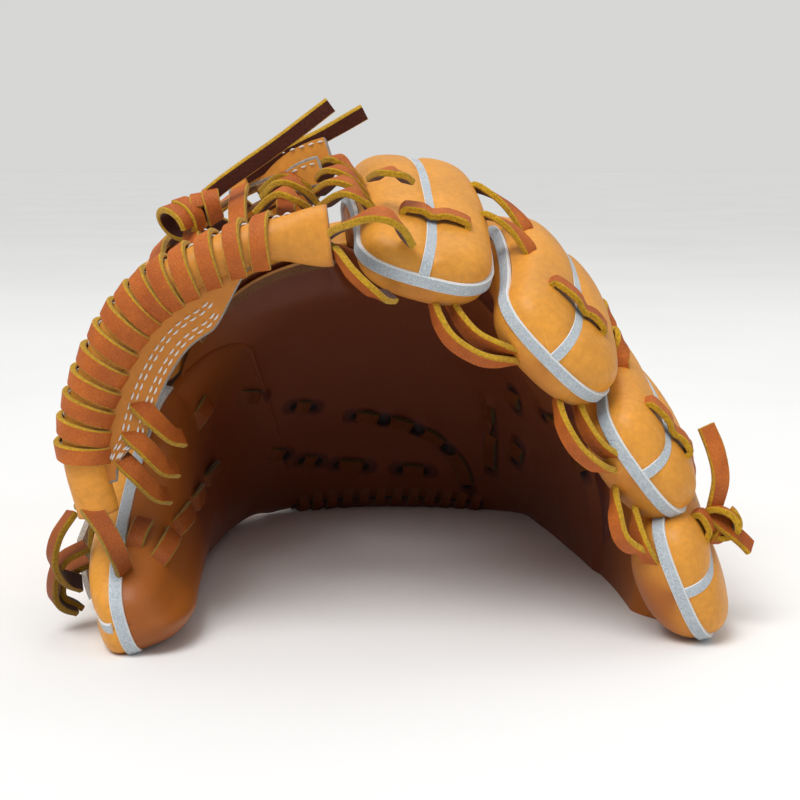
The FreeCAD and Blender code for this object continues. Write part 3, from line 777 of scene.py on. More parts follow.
def skin_place(stall, v, psi, side):
    """A place on a stall's skin, v along it and psi in degrees round it, and the way the skin looks there."""
    v, psi = np.array([[v]]), np.radians([[psi]])
    point = stall.skin(v, psi, side)[0, 0]
    return point, unit(point - stall.skin(v, psi, side, 3.0)[0, 0])


def skin_run(stall, start, end, side, lift=1.4):
    """A run of lace over a stall's skin between two places (v, psi in degrees)."""
    places = [skin_place(stall, v, psi, side) for v, psi in catmull((start, end), 26)]
    points, normals = (np.array(x) for x in zip(*places))
    reach = along_way(points)
    ends = np.minimum(reach, reach[-1] - reach)
    rise = -3.0 + (3.0 + lift) * ease(ends / 4.0) + 1.6 * np.sin(np.pi * reach / reach[-1])
    return ribbon_parts(points + normals * rise[:, None], normals, LACE_W, LACE_T, LACE_WOBBLE)


def gap_lace(a, place_a, b, place_b):
    """A lace from one stall to its neighbour, arched over the gap between them."""
    pa, na = skin_place(a, *place_a, 1)
    pb, nb = skin_place(b, *place_b, 1)
    way = unit(pb - pa)
    normal = unit(na + nb)
    points = (
        pa - na * 3.2 + way * 0.5, pa + na * 0.8 + way * 1.0,
        (pa + pb) / 2 + normal * 2.5,
        pb + nb * 0.8 - way * 1.0, pb - nb * 3.2 - way * 0.5,
    )
    return lace(points, (na - way * 1.2, na - way * 0.3, normal, nb + way * 0.3, nb + way * 1.2))


# -------------------- fingers
BELLY_SHADE = 0.45      # how much painted shade the pocket side of a finger gets
FINGER_BACKS = {"thumb_half": (2.0, 88.6), "little_half": (91.4, 178.0)}     # each half's psi, in degrees
THUMB_BACKS = {"inner": (1, 88.6), "outer": (91.4, 179)}


def skin_grid(rows, columns, low, high):
    """Grids of places on a stall's skin between two corners (v, psi in degrees)."""
    v, psi = grids(rows, columns, low, high)
    return v, np.radians(psi)


def welt(name, line, outward, ridge):
    """The welting in a stall's outline seam and in the seam along its back."""
    parts = [ribbon_parts(line + outward * 0.35, outward, 4.7, 1.9), ribbon_parts(*ridge, 4.0, 1.5)]
    place(merge(name + "_welt", parts, WELTING), name, name + "_welting")


def finger(name):
    stall = STALLS[name]
    v, psi = skin_grid(84, 44, (-0.06, 2), (1, 178))
    face, back = stall.skin(v, psi, -1), stall.skin(v, psi, -1, LEATHER)
    sink = (1.9 * ease((0.05 - v) / 0.10))[..., None] * stall.out0
    face = soften(face, 0.35, 30, 3)
    # Painted shade: the pocket's shade, and more on the middle of the front that faces into the pocket.
    pocket_side_shade = np.sin(psi) ** 3 * (1 - 0.6 * ease((v - 0.7) / 0.3))
    shade = cavity_shade(face) * (0.6 + 0.4 * np.sin(psi)) + BELLY_SHADE * pocket_side_shade
    piece = slab(name + "_front", face + sink, back + sink, SHELL, shade)
    place(piece, name, name + "_front_leather", name + "_pad")
    for half, (low, high) in FINGER_BACKS.items():
        v, psi = skin_grid(110, 26, (-0.42, low), (1, high))
        face, back = stall.skin(v, psi, 1), above_table(stall.skin(v, psi, 1, LEATHER), 0.6)
        face = above_table(soften(face, 0.4, 34, 5 + len(half)))
        place(slab(name + "_back_skin_" + half, face, back, SHELL), name, name + "_back_" + half)
    welt(name, *stall.outline(), stall.ridge())


def thumb():
    v, psi = skin_grid(120, 60, (0.015, 1), (1, 179))
    face = above_table(palm_soft(THUMB.skin(v, psi, -1)))
    back = above_table(THUMB.skin(v, psi, -1, LEATHER), 0.6)
    # The thumb's front gets the pocket's painted shade.
    piece = slab("thumb_front", face, back, SHELL, cavity_shade(face))
    place(piece, "thumb", "thumb_front_leather", "thumb_heel_pad")
    for half, (low, high) in THUMB_BACKS.items():
        v, psi = skin_grid(120, 30, (0.04, low), (1, high))
        face = above_table(soften(THUMB.skin(v, psi, 1), 0.25, 34, 13))
        back = above_table(THUMB.skin(v, psi, 1, LEATHER), 0.6)
        place(slab("thumb_back_" + half, face, back, SHELL), "thumb", "thumb_back_" + half + "_half")
    line, outward = THUMB.outline()
    welt("thumb", above_table(line, 1.3), outward, THUMB.ridge())


# Laces over the fingertips, as places on a finger's back (v along it, psi in degrees round it).
TIP_RUNS = {
    "index": ((0.80, 62), (0.81, 124)),
    "middle": ((0.80, 52), (0.82, 116)),
    "ring": ((0.80, 52), (0.83, 118)),
    "little": ((0.76, 40), (0.80, 80)),
}
NEIGHBOURS = (("index", "middle"), ("middle", "ring"), ("ring", "little"))
# Laces on the pocket side between each finger and the next.
POCKET_LOOPS = {
    "index": (
        (
            (12, -106, 128), (14, -114, 121), (19, -119, 114),
            (29, -119, 108), (39, -113, 106), (45, -106, 106),
        ),
        ((18, -104, 128), (22, -112, 121), (28, -116, 115), (37, -115, 111), (46, -108, 108)),
    ),
    "middle": (
        ((58, -106, 92), (59, -115, 84), (64, -119, 75), (72, -117, 68), (80, -108, 65)),
        ((65, -104, 92), (67, -113, 84), (72, -116, 76), (79, -112, 71), (84, -105, 69)),
    ),
    "ring": (
        ((80, -106, 59), (79, -116, 51), (81, -120, 42), (87, -118, 37), (93, -110, 36)),
        ((88, -104, 52), (87, -113, 46), (89, -118, 38), (94, -115, 31), (99, -107, 29)),
    ),
}
BACK_LOOP = ((-10, -95, 172), (-6, -103, 174.5), (-1, -104, 174), (3, -98, 171))


def finger_laces():
    laces = {name: [skin_run(STALLS[name], *run, 1)] for name, run in TIP_RUNS.items()}
    for name, following in NEIGHBOURS:
        for v, following_v in ((0.66, 0.62), (0.44, 0.44)):
            laces[name].append(gap_lace(STALLS[name], (v, 148), STALLS[following], (following_v, 30)))
        for points in POCKET_LOOPS[name]:
            laces[name].append(loop_parts(points, (-0.55, -0.75, -0.5), 7.0))
    laces["index"].append(loop_parts(BACK_LOOP, (0, -0.3, 1), 6.0))
    for name, parts in laces.items():
        place(merge(name + "_laces", parts, LACE), name + "_finger", name + "_tip_lace")


# -------------------- palm
# Runs of lace over the pocket's face, as places (theta, t).
PALM_RUNS = (
    ((143, 0.43), (136, 0.37)),
    ((128, 0.31), (120, 0.285)),
    ((107, 0.24), (101, 0.232), (95, 0.222)),
    ((94, 0.221), (88, 0.213), (82, 0.203)),
    ((81, 0.201), (75, 0.19), (69, 0.174)),
    ((68, 0.171), (62, 0.13), (58, 0.07)),
    ((141, 0.25), (134, 0.21)),
    ((129, 0.175), (121, 0.15)),
    ((115, 0.13), (101, 0.11)),
    ((89, 0.10), (76, 0.10)),
)
FOLD_RUNS = (
    ((55, 0.36), (52, 0.30)),
    ((51, 0.28), (49, 0.16)),
    ((46, 0.47), (43, 0.43)),
)
SIDE_RUNS = (
    ((33, 0.52), (27, 0.56)),
    ((22, 0.55), (15, 0.56)),
    ((38, 0.34), (37, 0.27)),
)
THUMB_RUNS = (          # places on the thumb's front: v along it, psi in degrees round it
    ((0.897, 12), (0.856, 21)),
    ((0.902, 50), (0.836, 63)),
    ((0.824, 66), (0.715, 85)),
    ((0.697, 87), (0.60, 91)),
    ((0.57, 93), (0.47, 97)),
    ((0.590, 56), (0.545, 60)),
)
PUCKER, PUCKER_REACH = 1.3, 4.5     # how far the leather rises round a lace's hole, and how far from it
# Painted shade beside each lace (half width, fade, strength), and the painted shadow in each hole (half
# width, fade).
LACE_SHADE_HALF, LACE_SHADE_FADE, LACE_SHADE_DARK = 3.6, 1.8, 0.5
HOLE_HALF, HOLE_FADE = 2.2, 2.0


def pucker(points, runs):
    """Raises the leather round the holes at both ends of each lace, where the lace's pull gathers it."""
    for run in runs:
        for theta, t in (run[0], run[-1]):
            gap = np.linalg.norm(points - at(theta, t, 0.0), axis=-1)
            rise = PUCKER * np.exp(-((gap / PUCKER_REACH) ** 2))
            points = points - directions(theta, t)[2] * rise[..., None]
    return points


def with_lace_shadows(shade, points, runs):
    """Adds painted shade to the leather beside each lace, and a painted black shadow where the lace goes
    through.
    """
    for run in runs:
        path = catmull(run, 12)
        line = at(path[:, 0], path[:, 1], 0.0)
        away = np.linalg.norm(points[..., None, :] - line, axis=-1)
        beside = 1 - ease((away.min(-1) - LACE_SHADE_HALF) / LACE_SHADE_FADE)
        hole = 1 - ease((np.minimum(away[..., 1], away[..., -2]) - HOLE_HALF) / HOLE_FADE)
        shade = np.maximum(shade + LACE_SHADE_DARK * beside, 2.0 * hole)
    return shade


def palm_soft(points):
    return soften(points, 0.45, 40, 17)


def palm_sheet(theta, t, d):
    return palm_soft(at(theta, t, d)), at(theta, t, d + LEATHER)


def laced_sheet(name, where, face, back, raised, shadowed_runs, *nodes):
    """A sheet of pocket leather, raised round the holes of some lace runs, with painted shade along some and
    the pocket's painted shade.
    """
    face = above_table(pucker(face, raised), 0.2)
    shade = with_lace_shadows(cavity_shade(face), face, shadowed_runs)
    place(slab(name, face, above_table(back, 0.4), SHELL, shade), where, *nodes)


def palm():
    a, b = grids(190, 170)
    middle = 52 + 82 * a
    end = 0.60 + 0.03 * np.cos(2 * np.pi * (np.clip(middle, 48, 104) - 90) / 28)
    end = end + (0.578 - end) * ease((middle - 100) / 8)
    t = b * end
    thumb_seam = along(THUMB_INNER, t)
    thumb_seam = thumb_seam + (PALM_JOIN - thumb_seam) * near_heel(t)
    theta = 52 + (thumb_seam - 52) * a
    crotch = ease((theta - 100) / 10)
    near_end = ease((t - end + 0.085) / 0.085)
    d = 13.0 * crotch * near_end**2 + 1.6 * (1 - crotch) * ease((t - end + 0.04) / 0.04)
    face, back = palm_sheet(theta, t, d)
    # Its last rows run over into the thumb's first ones, so that no gap shows between the two sheets.
    meet = ease((a - 0.80) / 0.20)[..., None]
    v = np.repeat(t[-1][:, None], 2, 1)
    psi = np.radians(np.broadcast_to((1.0, 4.0), v.shape))
    face = face + meet * (palm_soft(THUMB.skin(v, psi, -1))[:, 0] - face[-1])[None]
    back = back + meet * (THUMB.skin(v, psi, -1, LEATHER)[:, 0] - back[-1])[None]
    laced_sheet("palm_front", "thumb", face, back, PALM_RUNS + FOLD_RUNS[:1], PALM_RUNS,
                "palm_leather", "palm_felt")


def side():
    a, b = grids(130, 170)
    low = table_theta(b * 0.60, True) + 0.5
    t = b * (0.60 + 0.30 * ease((17 - (low + (52 - low) * a)) / 14))
    low = table_theta(t, True) + 0.5
    tuck = 11 * ease((t - 0.80) / 0.10)
    face, back = palm_sheet(low + (52 - low) * a, t, 1.6 * ease((t - 0.54) / 0.04) + tuck)
    laced_sheet("side_front", "little_side", face, back, SIDE_RUNS, SIDE_RUNS + FOLD_RUNS,
                "side_palm_leather", "side_heel_pad")


def palm_laces():
    for name, where, node, lift, runs in (
        ("palm_lacing", "thumb", "palm_lace", 0.8, PALM_RUNS),
        ("side_lacing", "little_side", "side_lace", 0.9, FOLD_RUNS + SIDE_RUNS),
    ):
        place(merge(name, [dome_run(run, lift) for run in runs], LACE, True), where, node)


def linings():
    theta, t = grids(60, 60, (47, 0.02), (142, 0.58))
    piece = slab("palm_lining_skin", at(theta, t, 10.6), at(theta, t, 9.2), LINING)
    place(piece, "palm", "palm_lining")
    a, t = grids(40, 60, (0, 0.03), (1, 0.58))
    low = table_theta(t, True) + 5
    theta = low + (45.5 - low) * a
    piece = slab("side_lining_skin", at(theta, t, 10.6), at(theta, t, 9.2), LINING)
    place(piece, "little_finger_side", "side_lining")


# -------------------- back of the hand
def back_sheet(theta, t, lift):
    d = thickness(theta, t) + lift
    return soften(at(theta, t, d), 0.4, 38, 23), at(theta, t, d - LEATHER)


def backs():
    theta, t = grids(60, 40, (104, 0.40), (139, 0.585))
    drop = (thickness(theta, t) - 16) * ease((t - 0.50) / 0.085) ** 1.5
    face, back = back_sheet(theta, t, -0.6 - drop)
    place(slab("back_yoke", face, back, SHELL), "thumb", "knuckle_leather")
    a, t = grids(60, 70, (0, 0.035), (1, 0.45))
    low = table_theta(t, True) + 0.3
    face, back = back_sheet(low + (49 - low) * a, t, -0.8 * ease((t - 0.38) / 0.05))
    piece = slab("side_back", above_table(face, 0.2), above_table(back, 0.4), SHELL)
    place(piece, "little_side", "side_back_leather")


WRIST_LOW, WRIST_HIGH = 0.045, 0.20     # t at the wrist strap's edges
# Known fault: this is a rounding less than their difference, so that the puff at the high edge is undefined.
WRIST_SPAN = 0.155


def wrist_face(theta, t, lift):
    """The swollen outside of the wrist strap."""
    puff = 2.6 * np.sin(np.pi * (t - WRIST_LOW) / WRIST_SPAN) ** 0.7
    return at(theta, t, thickness(theta, t) + lift + puff)


def wrist():
    for name, where, low, high, nodes in (
        ("wrist_strap_right", "little_side", 12, 93, ()),
        ("wrist_strap_left", "thumb", 93, 166, ("wrist_strap", "wrist_strap_pad")),
    ):
        theta, t = grids(70, 30, (low, WRIST_LOW), (high, WRIST_HIGH))
        face, back = wrist_face(theta, t, 0.6), at(theta, t, thickness(theta, t) - 6.0)
        place(slab(name, soften(face, 0.3, 30, 29), back, (M_SHELL, M_FELT, M_SHELL)), where, *nodes)
        theta = np.linspace(low + 2, high - 1, 60)
        parts = []
        for t in (0.062, 0.183):
            parts += stitch_parts(wrist_face(theta, t, 0.75), directions(theta, t)[2])
        place(merge(name + "_stitches", parts, (M_THREAD_TAN,)), where)


# The edge of the hand opening, as places (theta, t).
OPENING = (
    (49, 0.21), (49, 0.32), (50, 0.40), (56, 0.417), (70, 0.417), (90, 0.417),
    (108, 0.412), (124, 0.405), (134, 0.395), (139, 0.34), (140, 0.22),
)


def opening_edge():
    theta, t = catmull(OPENING, 140).T
    points = at(theta, t, thickness(theta, t) - 1.3)
    way = unit(np.gradient(points, axis=0))
    up = square(directions(theta, t)[2], way)
    across = np.cross(way, up)
    turns = np.linspace(0, 2 * np.pi, 12, endpoint=False)
    rings = [points + across * (3.0 * math.cos(turn)) + up * (2.7 * math.sin(turn)) for turn in turns]
    points, faces, slots = shaft(np.stack(rings, 1), [0] * len(rings), 1)
    place(build("opening_binding", points, faces, (M_TRIM, M_RAW), slots), "palm", "wrist_binding")


HEEL_T = 0.026
HEEL_TURNS = 12


def heel_roll(theta, phi, radius):
    """Points on the heel's rolled edge, and the way it looks there. phi is the angle round the roll."""
    _, forward, out = directions(theta, HEEL_T)
    looks = out * np.sin(phi)[..., None] - forward * np.cos(phi)[..., None]
    return above_table(at(theta, HEEL_T, 5.0) + looks * radius, 0.25), looks


def heel():
    theta, phi = grids(80, 16, (50, math.radians(-88)), (138, math.radians(88)))
    face, back = heel_roll(theta, phi, 6.2)[0], heel_roll(theta, phi, 4.6)[0]
    # The heel roll gets the pocket's painted shade and a little more.
    piece = slab("heel_roll", face, back, TRIM, np.clip(cavity_shade(face) + 0.1, 0, 1))
    place(piece, "thumb", "heel_binding")
    angle = np.linspace(0, HEEL_TURNS * 2 * np.pi, HEEL_TURNS * 26)
    theta = np.interp(angle, (0, angle[-1]), (52, 137))
    lacing = ribbon_parts(*heel_roll(theta, angle % (2 * np.pi) - np.pi, 7.4), 5.2, 1.8, LACE_WOBBLE)
    place(merge("heel_lacing", [lacing], LACE, True), "thumb", "heel_lace")


# -------------------- web
BAR_LINE = ((-111, 50), (-116, 75), (-110, 100), (-97, 123), (-80, 137), (-52, 149), (-25, 152))    # x and z
BAR_Y = -114
BAR_RADIUS = 7.6
CROTCH = ((146, 0.50, 12), (139, 0.55, 17), (130, 0.585, 24), (120, 0.575, 32), (112, 0.54, 38))
WRAPS = 14
WEB_THICK = 2.4
# Each leather piece of the web: its CAD node, two opposite corners (s, q), and how far in front it lies.
WEB_SHEETS = {
    "web_cross": ("web_crosspiece", (0.10, 0.42), (1.0, 0.60), 0.0),
    "web_upright": ("web_post", (0.40, 0.06), (0.60, 0.92), 2.7),
    "web_foot": ("web_base", (0.10, 0.80), (1.0, 1.0), 0.0),
}


def bar_frame(s):
    """The bar's middle at s from the thumb (0) to the index finger (1), the way along it, and inward."""
    s = np.asarray(s, float)
    x, z = np.transpose(BAR_LINE)
    middle = stack(along(x, s), BAR_Y, along(z, s))
    a, b = np.clip(s - 0.004, 0, 1), np.clip(s + 0.004, 0, 1)
    way = unit(stack(along(x, b) - along(x, a), 0, along(z, b) - along(z, a)))
    return middle, way, stack(way[..., 2], 0, -way[..., 0])


BENDS["web"] = ("palm", "thumb_side", bar_frame(0.55)[0], bar_frame(0.10)[0])


def bar_point(s, turn, radius):
    """A point round the bar: turn 0 on the pocket side, then over the front to the outside and the back."""
    middle, _, inward = bar_frame(s)
    flat = ease((s - 0.86) / 0.14)
    deep, tall = 1 - 0.50 * flat, 1 + 0.48 * flat
    out = inward * (np.cos(turn) * tall)[..., None] - np.array([0, 1.0, 0]) * (np.sin(turn) * deep)[..., None]
    return middle + out * radius, unit(out)


def web_face(s, q):
    """The web's sheet: s along the bar, and q from the bar (0) down to the crotch (1)."""
    middle, _, inward = bar_frame(s)
    theta, t, d = (along(values, s) for values in np.transpose(CROTCH))
    rise = (7 + 13 * ease((s - 0.3) / 0.7)) * 4 * q * (1 - q)
    q = q[..., None]
    return (middle + np.array([0, 5.0, 0])) * (1 - q) + at(theta, t, d) * q - inward * rise[..., None]


def web_normal(s, q):
    a = web_face(s + 0.01, q) - web_face(s - 0.01, q)
    b = web_face(s, q + 0.01) - web_face(s, q - 0.01)
    n = unit(np.cross(a, b))
    return np.where((n * bar_frame(s)[2]).sum(-1, keepdims=True) > 0, -n, n)


def facing_place(s, share):
    """A place on the stitched strip along the bar's inside, and the way its stitched face looks."""
    middle, _, inward = bar_frame(s)
    run = unit(inward + np.array([0, 0.30, 0]))
    looks = unit(inward * 0.30 - np.array([0, 1.0, 0]))
    width = 5 + 13 * ease((s - 0.07) / 0.16) * (1 - 1.5 * ease((s - 0.66) / 0.20))
    point = middle + inward * 5.0 - np.array([0, 1.5, 0]) + run * (share * width)[..., None]
    return point, looks


def bar():
    s, turn = grids(150, 28, (0, 0), (1, 2 * math.pi * 27 / 28))
    points, faces, slots = shaft(bar_point(s, turn, BAR_RADIUS)[0], [0] * s.shape[1], 1)
    place(build("web_bar", points, faces, (M_TRIM, M_RAW), slots), "web", "web_top_bar")
    s, share = grids(120, 14, (0.07, 0.0), (0.84, 1.0))
    base, looks = facing_place(s, share)
    # Painted shade on the facing: part even, part the pocket's.
    shade = 0.25 + 0.4 * cavity_shade(base)
    place(slab("web_facing", base + looks * 1.2, base - looks * 1.2, TRIM, shade), "web", "web_bar_facing")
    parts = []
    for share in (0.50, 0.60, 0.80, 0.90):
        base, looks = facing_place(np.linspace(0.12, 0.72, 120), share)
        parts += stitch_parts(base + looks * 1.3, looks, 2.8, 1.2, 0.4)
    for turn in (2.95, 3.35):
        parts += stitch_parts(*bar_point(np.linspace(0.16, 0.92, 120), turn, BAR_RADIUS + 0.1), 2.8, 1.2, 0.4)
    place(merge("web_stitches", parts, (M_THREAD,)), "web")


def bar_lacing():
    angle = np.linspace(0, WRAPS * 2 * np.pi, WRAPS * 34)
    s = np.interp(angle, (0, angle[-1]), (0.125, 0.872))
    points, normals = bar_point(s, angle - math.pi / 2, BAR_RADIUS + 1.5)
    normals = unit(normals - bar_frame(s)[1] * 0.16)
    piece = merge("web_bar_lacing", [ribbon_parts(points, normals, 6.6, 2.3, 0.3)], LACE)
    place(piece, "web", "web_top_lace")


def web():
    bar()
    bar_lacing()
    for name, (node, low, high, lift) in WEB_SHEETS.items():
        s, q = grids(50, 24, low, high)
        base, n = web_face(s, q), web_normal(s, q)
        piece = slab(name, base + n * (lift + WEB_THICK), base + n * lift, (M_TRIM, M_TRIM, M_FLESH))
        place(piece, "web", node)
    parts = []
    for places, q, slant, pivot, lift, arch in (
        (np.linspace(0.16, 0.92, 9), np.linspace(0.54, 0.86, 18), 0.03, 0.6, 0.6, 4.4),
        (np.linspace(0.20, 0.90, 8), np.linspace(0.03, 0.48, 20), 0.04, 0.0, 1.2, 4.0),
    ):
        bow = np.sin(np.linspace(0, np.pi, len(q)))
        for s in places:
            n = web_normal(np.full(len(q), s), q)
            points = web_face(s + slant * (q - pivot), q) + n * (lift + arch * bow)[:, None]
            parts.append(ribbon_parts(points, n, LACE_W, LACE_T, LACE_WOBBLE))
    place(merge("web_lacing", parts, LACE), "web", "web_lace")


# -------------------- laces between pieces, and the ends of the straps they hold
def loop_parts(points, outward, width=LACE_W, thick=LACE_T):
    """A lace through free points. outward is the way its smooth face looks."""
    points = catmull(points, 34)
    normals = np.broadcast_to(unit(np.array(outward, float)), points.shape)
    return ribbon_parts(points, normals, width, thick, 0.3)


WEB_LOOPS = (
    ((-31, -58, 174), (-26, -66, 179), (-21, -68, 177), (-15, -64, 170)),
    ((-31, -71, 169), (-26, -80, 175), (-19, -82, 173), (-13, -78, 166)),
    ((-31, -83, 166), (-24, -92, 171), (-17, -93, 169), (-11, -88, 162)),
    ((-28, -95, 162), (-20, -103, 167), (-14, -104, 165), (-9, -98, 158)),
    ((-52, -68, 167), (-44, -76, 173), (-38, -76, 171), (-33, -70, 165)),
    ((-50, -84, 165), (-43, -92, 171), (-37, -92, 169), (-32, -86, 163)),
    ((-52, -98, 160), (-44, -104, 167), (-38, -104, 165), (-33, -98, 160)),
)
BIG_LACE = (
    (-30, -108, 148), (-24, -114, 153), (-17, -122, 157),
    (-9, -127, 160), (-2, -126, 158), (3, -118, 150),
)
UNDER_LACE = ((-27, -106, 147), (-22, -116, 145), (-17, -123, 139), (-9, -124, 132), (-3, -116, 130))
THUMB_WEB_LACES = (
    ((-100, -106, 92), (-95, -113, 90), (-90, -113, 85), (-85, -106, 78), (-82, -98, 75)),
    ((-103, -106, 82), (-98, -113, 79), (-93, -113, 74), (-88, -106, 66), (-85, -97, 63)),
    ((-106, -106, 72), (-101, -113, 69), (-96, -113, 64), (-91, -106, 56), (-88, -98, 53)),
)
THUMB_BIG_LACE = ((-117, -112, 53), (-112, -120, 52), (-106, -126, 46), (-102, -127, 38), (-101, -121, 30))
OUTER_LOOPS = (
    ((-122, -108, 49), (-127, -113, 41), (-129, -113, 32), (-127, -107, 24), (-122, -99, 19)),
    ((-119, -100, 34), (-127, -104, 30), (-131, -104, 22), (-131, -102, 13), (-125, -96, 8)),
    ((-120, -92, 26), (-128, -96, 22), (-130, -97, 14), (-124, -92, 8)),
)
STRAP_ENDS = (
    ((-66, -62, 166), (-27, -58, 178), (-30, -58, 187), (-64, -60, 174)),
    ((-52, -76, 162), (-29, -74, 170), (-32, -72, 179), (-47, -76, 171)),
)


def strap_end(corners, name):
    """A stitched strip's end between four corners, bowed a little. Returns its stitches."""
    a, b = (share[..., None] for share in grids(26, 10))
    p = np.array(corners, float)
    low = p[0] * (1 - a) + p[1] * a
    high = p[3] * (1 - a) + p[2] * a
    bow = np.array([0, -2.0, 1.0]) * (np.sin(np.pi * a) * 1.2)
    face = low * (1 - b) + high * b + bow
    normal = unit(np.cross(p[1] - p[0], p[3] - p[0]))
    normal = -normal if normal[1] > 0 else normal
    place(slab(name, face + normal * 1.2, face - normal * 1.2, TRIM), "palm")
    line = (low * 0.16 + high * 0.84 + bow + normal * 1.3)[:, 0]
    return stitch_parts(line, np.broadcast_to(normal, line.shape), 2.4, 1.4, 0.45)


def web_loops():
    stitches = strap_end(STRAP_ENDS[0], "web_strap_far") + strap_end(STRAP_ENDS[1], "web_strap_near")
    place(merge("web_strap_stitches", stitches, (M_THREAD,)), "palm")
    parts = [loop_parts(points, (0.15, -0.35, 1)) for points in WEB_LOOPS]
    parts.append(loop_parts(BIG_LACE, (0.2, -0.5, 1), 8.0, 2.8))
    parts.append(loop_parts(UNDER_LACE, (-0.9, -0.6, -0.5), 6.5))
    place(merge("web_index_laces", parts, LACE), "palm")
    parts = [loop_parts(points, (0.35, -0.75, 0.55), 7.5) for points in THUMB_WEB_LACES]
    parts.append(loop_parts(THUMB_BIG_LACE, (0.35, -0.8, 0.5), 7.5))
    parts += [loop_parts(points, (-0.8, -0.6, 0.25), 7.0) for points in OUTER_LOOPS]
    place(merge("thumb_web_laces", parts, LACE, True), "thumb_side")


def thumb_laces():
    parts = [skin_run(THUMB, *run, -1, 0.8) for run in THUMB_RUNS]
    parts.append(skin_run(THUMB, (0.80, 62), (0.82, 116), 1))
    place(merge("thumb_lacing", parts, LACE, True), "thumb_side", "thumb_lace")


# -------------------- knots and loose ends
# Each knot's loops, as (centre, axis, size, turns).
LITTLE_KNOT = (((122, -95, 42), (0.3, 1, 0.1), 7.0, 1.2), ((119, -90, 38), (1, 0.4, -0.3), 5.5, 1.1))
WEB_KNOT = (((-82, -88, 156), (0.6, 0.6, 0.4), 8.0, 1.3), ((-72, -84, 161), (1, 0.1, 0.4), 6.5, 1.2))
# Each loose end: its points, the way its smooth face looks at each, and its width and thickness if special.
LITTLE_TAILS = (
    (
        ((120, -93, 46), (122, -94, 58), (120, -94, 69), (116, -93, 79)),
        ((0.5, -0.8, 0.1), (0.35, -0.9, 0), (0.2, -1, 0), (0.3, -0.9, 0.1)),
    ),
    (
        ((118, -94, 46), (124, -96, 41), (130, -96, 36), (134, -95, 32)),
        ((0.2, -0.6, 0.6), (0.2, -0.7, 0.6), (0.3, -0.6, 0.6), (0.3, -0.6, 0.6)),
    ),
)
WEB_TAIL_LOOKS = ((0.25, 0.75, 0.55),) * 4
WEB_TAILS = (
    (((-74, -86, 163), (-66, -85, 170), (-46, -83, 184), (-26, -82, 199)), WEB_TAIL_LOOKS, 6.2, 2.6),
    (((-60, -66, 172), (-48, -62, 179), (-30, -58, 188), (-14, -56, 197)), WEB_TAIL_LOOKS, 6.2, 2.6),
)


def knot_parts(centre, axis, size, turns):
    """One loop of a lace that is pulled into a knot."""
    axis = unit(np.array(axis, float))
    side = unit(np.cross(axis, (0.3, 0.2, 0.9)))
    up = np.cross(side, axis)
    a = np.linspace(0, turns * 2 * np.pi, 44)[:, None]
    ring = side * np.cos(a) * size + up * np.sin(a) * size * 0.8
    points = np.array(centre, float) + ring + axis * (np.linspace(-1, 1, 44) * size * 0.45)[:, None]
    return ribbon_parts(points, unit(ring) + axis * 0.2, LACE_W * 0.9, LACE_T, LACE_WOBBLE)


def knots():
    for name, body, node, make, rows in (
        ("little_knot", "little_finger", "little_lace_knot", knot_parts, LITTLE_KNOT),
        ("little_tails", "little_lace_ends_body", "little_lace_ends", lace, LITTLE_TAILS),
        ("web_knot", "palm", "web_lace_knot", knot_parts, WEB_KNOT),
        ("web_tails", "web_lace_ends_body", "web_lace_ends", lace, WEB_TAILS),
    ):
        place(merge(name, [make(*row) for row in rows], LACE), body, node)


def insides():
    """Pieces inside the stalls whose CAD solids have the right shape: they get a material only."""
    finishes = {
        "thumb_stiffener": M_BOARD, "thumb_tab": M_RAW,
        "thumb_loop": M_LINING, "little_loop": M_LINING,
    }
    for node, material in finishes.items():
        piece = bpy.data.objects.get(node)
        if piece is not None:
            piece.data.materials.clear()
            piece.data.materials.append(material)


# -------------------- stage
FLOOR_HALF = 14.0
LAMPS = (       # name, place, what it looks at, power and width, in metres and watts
    ("key", (-0.5, -0.9, 1.7), (0, 0, 0.1), 9, 1.0),
    ("fill", (1.3, -1.0, 0.9), (0, 0, 0.08), 3, 1.2),
    ("top", (0.25, 0.35, 1.6), (0, 0, 0), 6, 1.2),
)
EYE = (0, -668, 181)
EYE_TILT = 9.1          # degrees below level
LENS = 69.3


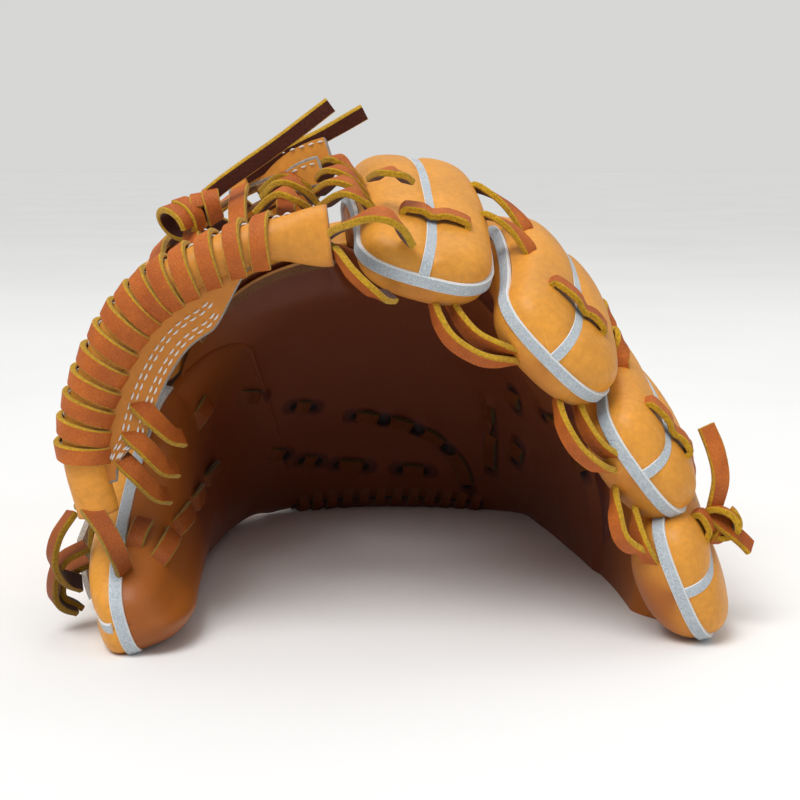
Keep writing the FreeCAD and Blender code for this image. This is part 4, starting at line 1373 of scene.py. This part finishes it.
def floor():
    mesh = bpy.data.meshes.new("floor")
    corners = [(x * FLOOR_HALF, y * FLOOR_HALF, 0) for x, y in ((-1, -1), (1, -1), (1, 1), (-1, 1))]
    mesh.from_pydata(corners, [], [(0, 1, 2, 3)])
    sheet = bpy.data.objects.new("floor", mesh)
    bpy.context.scene.collection.objects.link(sheet)
    m = Nodes("floor_paper")
    tint = m.mix(m.span(m.noise(3), 0.3, 0.7), (0.83, 0.83, 0.82), (0.87, 0.87, 0.86))
    mesh.materials.append(m.finish(tint, 0.8, m.noise(300), 0.02 * MM, 0.2))


def sky():
    """White light from all round, with a grey that only the camera sees."""
    world = bpy.data.worlds.new("studio")
    bpy.context.scene.world = world
    world.use_nodes = True
    nodes = world.node_tree.nodes
    light = nodes["Background"]
    light.inputs["Color"].default_value = (1.0, 1.0, 1.0, 1)
    light.inputs["Strength"].default_value = 0.42
    shown = nodes.new("ShaderNodeBackground")
    shown.inputs["Color"].default_value = (0.675, 0.675, 0.67, 1)
    ray = nodes.new("ShaderNodeLightPath")
    choose = nodes.new("ShaderNodeMixShader")
    for source, target in (
        (ray.outputs["Is Camera Ray"], choose.inputs[0]),
        (light.outputs[0], choose.inputs[1]),
        (shown.outputs[0], choose.inputs[2]),
        (choose.outputs[0], nodes["World Output"].inputs["Surface"]),
    ):
        world.node_tree.links.new(source, target)


def lights():
    scene = bpy.context.scene
    scene.view_settings.view_transform = "Standard"
    sun = bpy.data.lights.new("sun", "SUN")
    sun.energy = 1.5
    sun.angle = math.radians(35)
    lamp = bpy.data.objects.new("sun", sun)
    lamp.rotation_euler = (math.radians(24), math.radians(-22), 0)
    scene.collection.objects.link(lamp)
    for name, location, target, power, width in LAMPS:
        light = bpy.data.lights.new(name, "AREA")
        light.energy = power
        light.size = width
        lamp = bpy.data.objects.new(name, light)
        lamp.location = location
        lamp.rotation_euler = (Vector(target) - Vector(location)).to_track_quat("-Z", "Y").to_euler()
        scene.collection.objects.link(lamp)


def camera():
    lens = bpy.data.cameras.new("view")
    lens.sensor_width = 36.0
    lens.lens = LENS
    lens.clip_start = 0.01
    eye = bpy.data.objects.new("view", lens)
    eye.location = spot(EYE)
    eye.rotation_euler = (math.radians(90 - EYE_TILT), 0, 0)
    bpy.context.scene.collection.objects.link(eye)
    bpy.context.scene.camera = eye


for finger_name in FINGERS:
    finger(finger_name)
finger_laces()
thumb()
palm()
side()
palm_laces()
linings()
backs()
wrist()
opening_edge()
heel()
web()
web_loops()
thumb_laces()
knots()
insides()
floor()
sky()
lights()
camera()
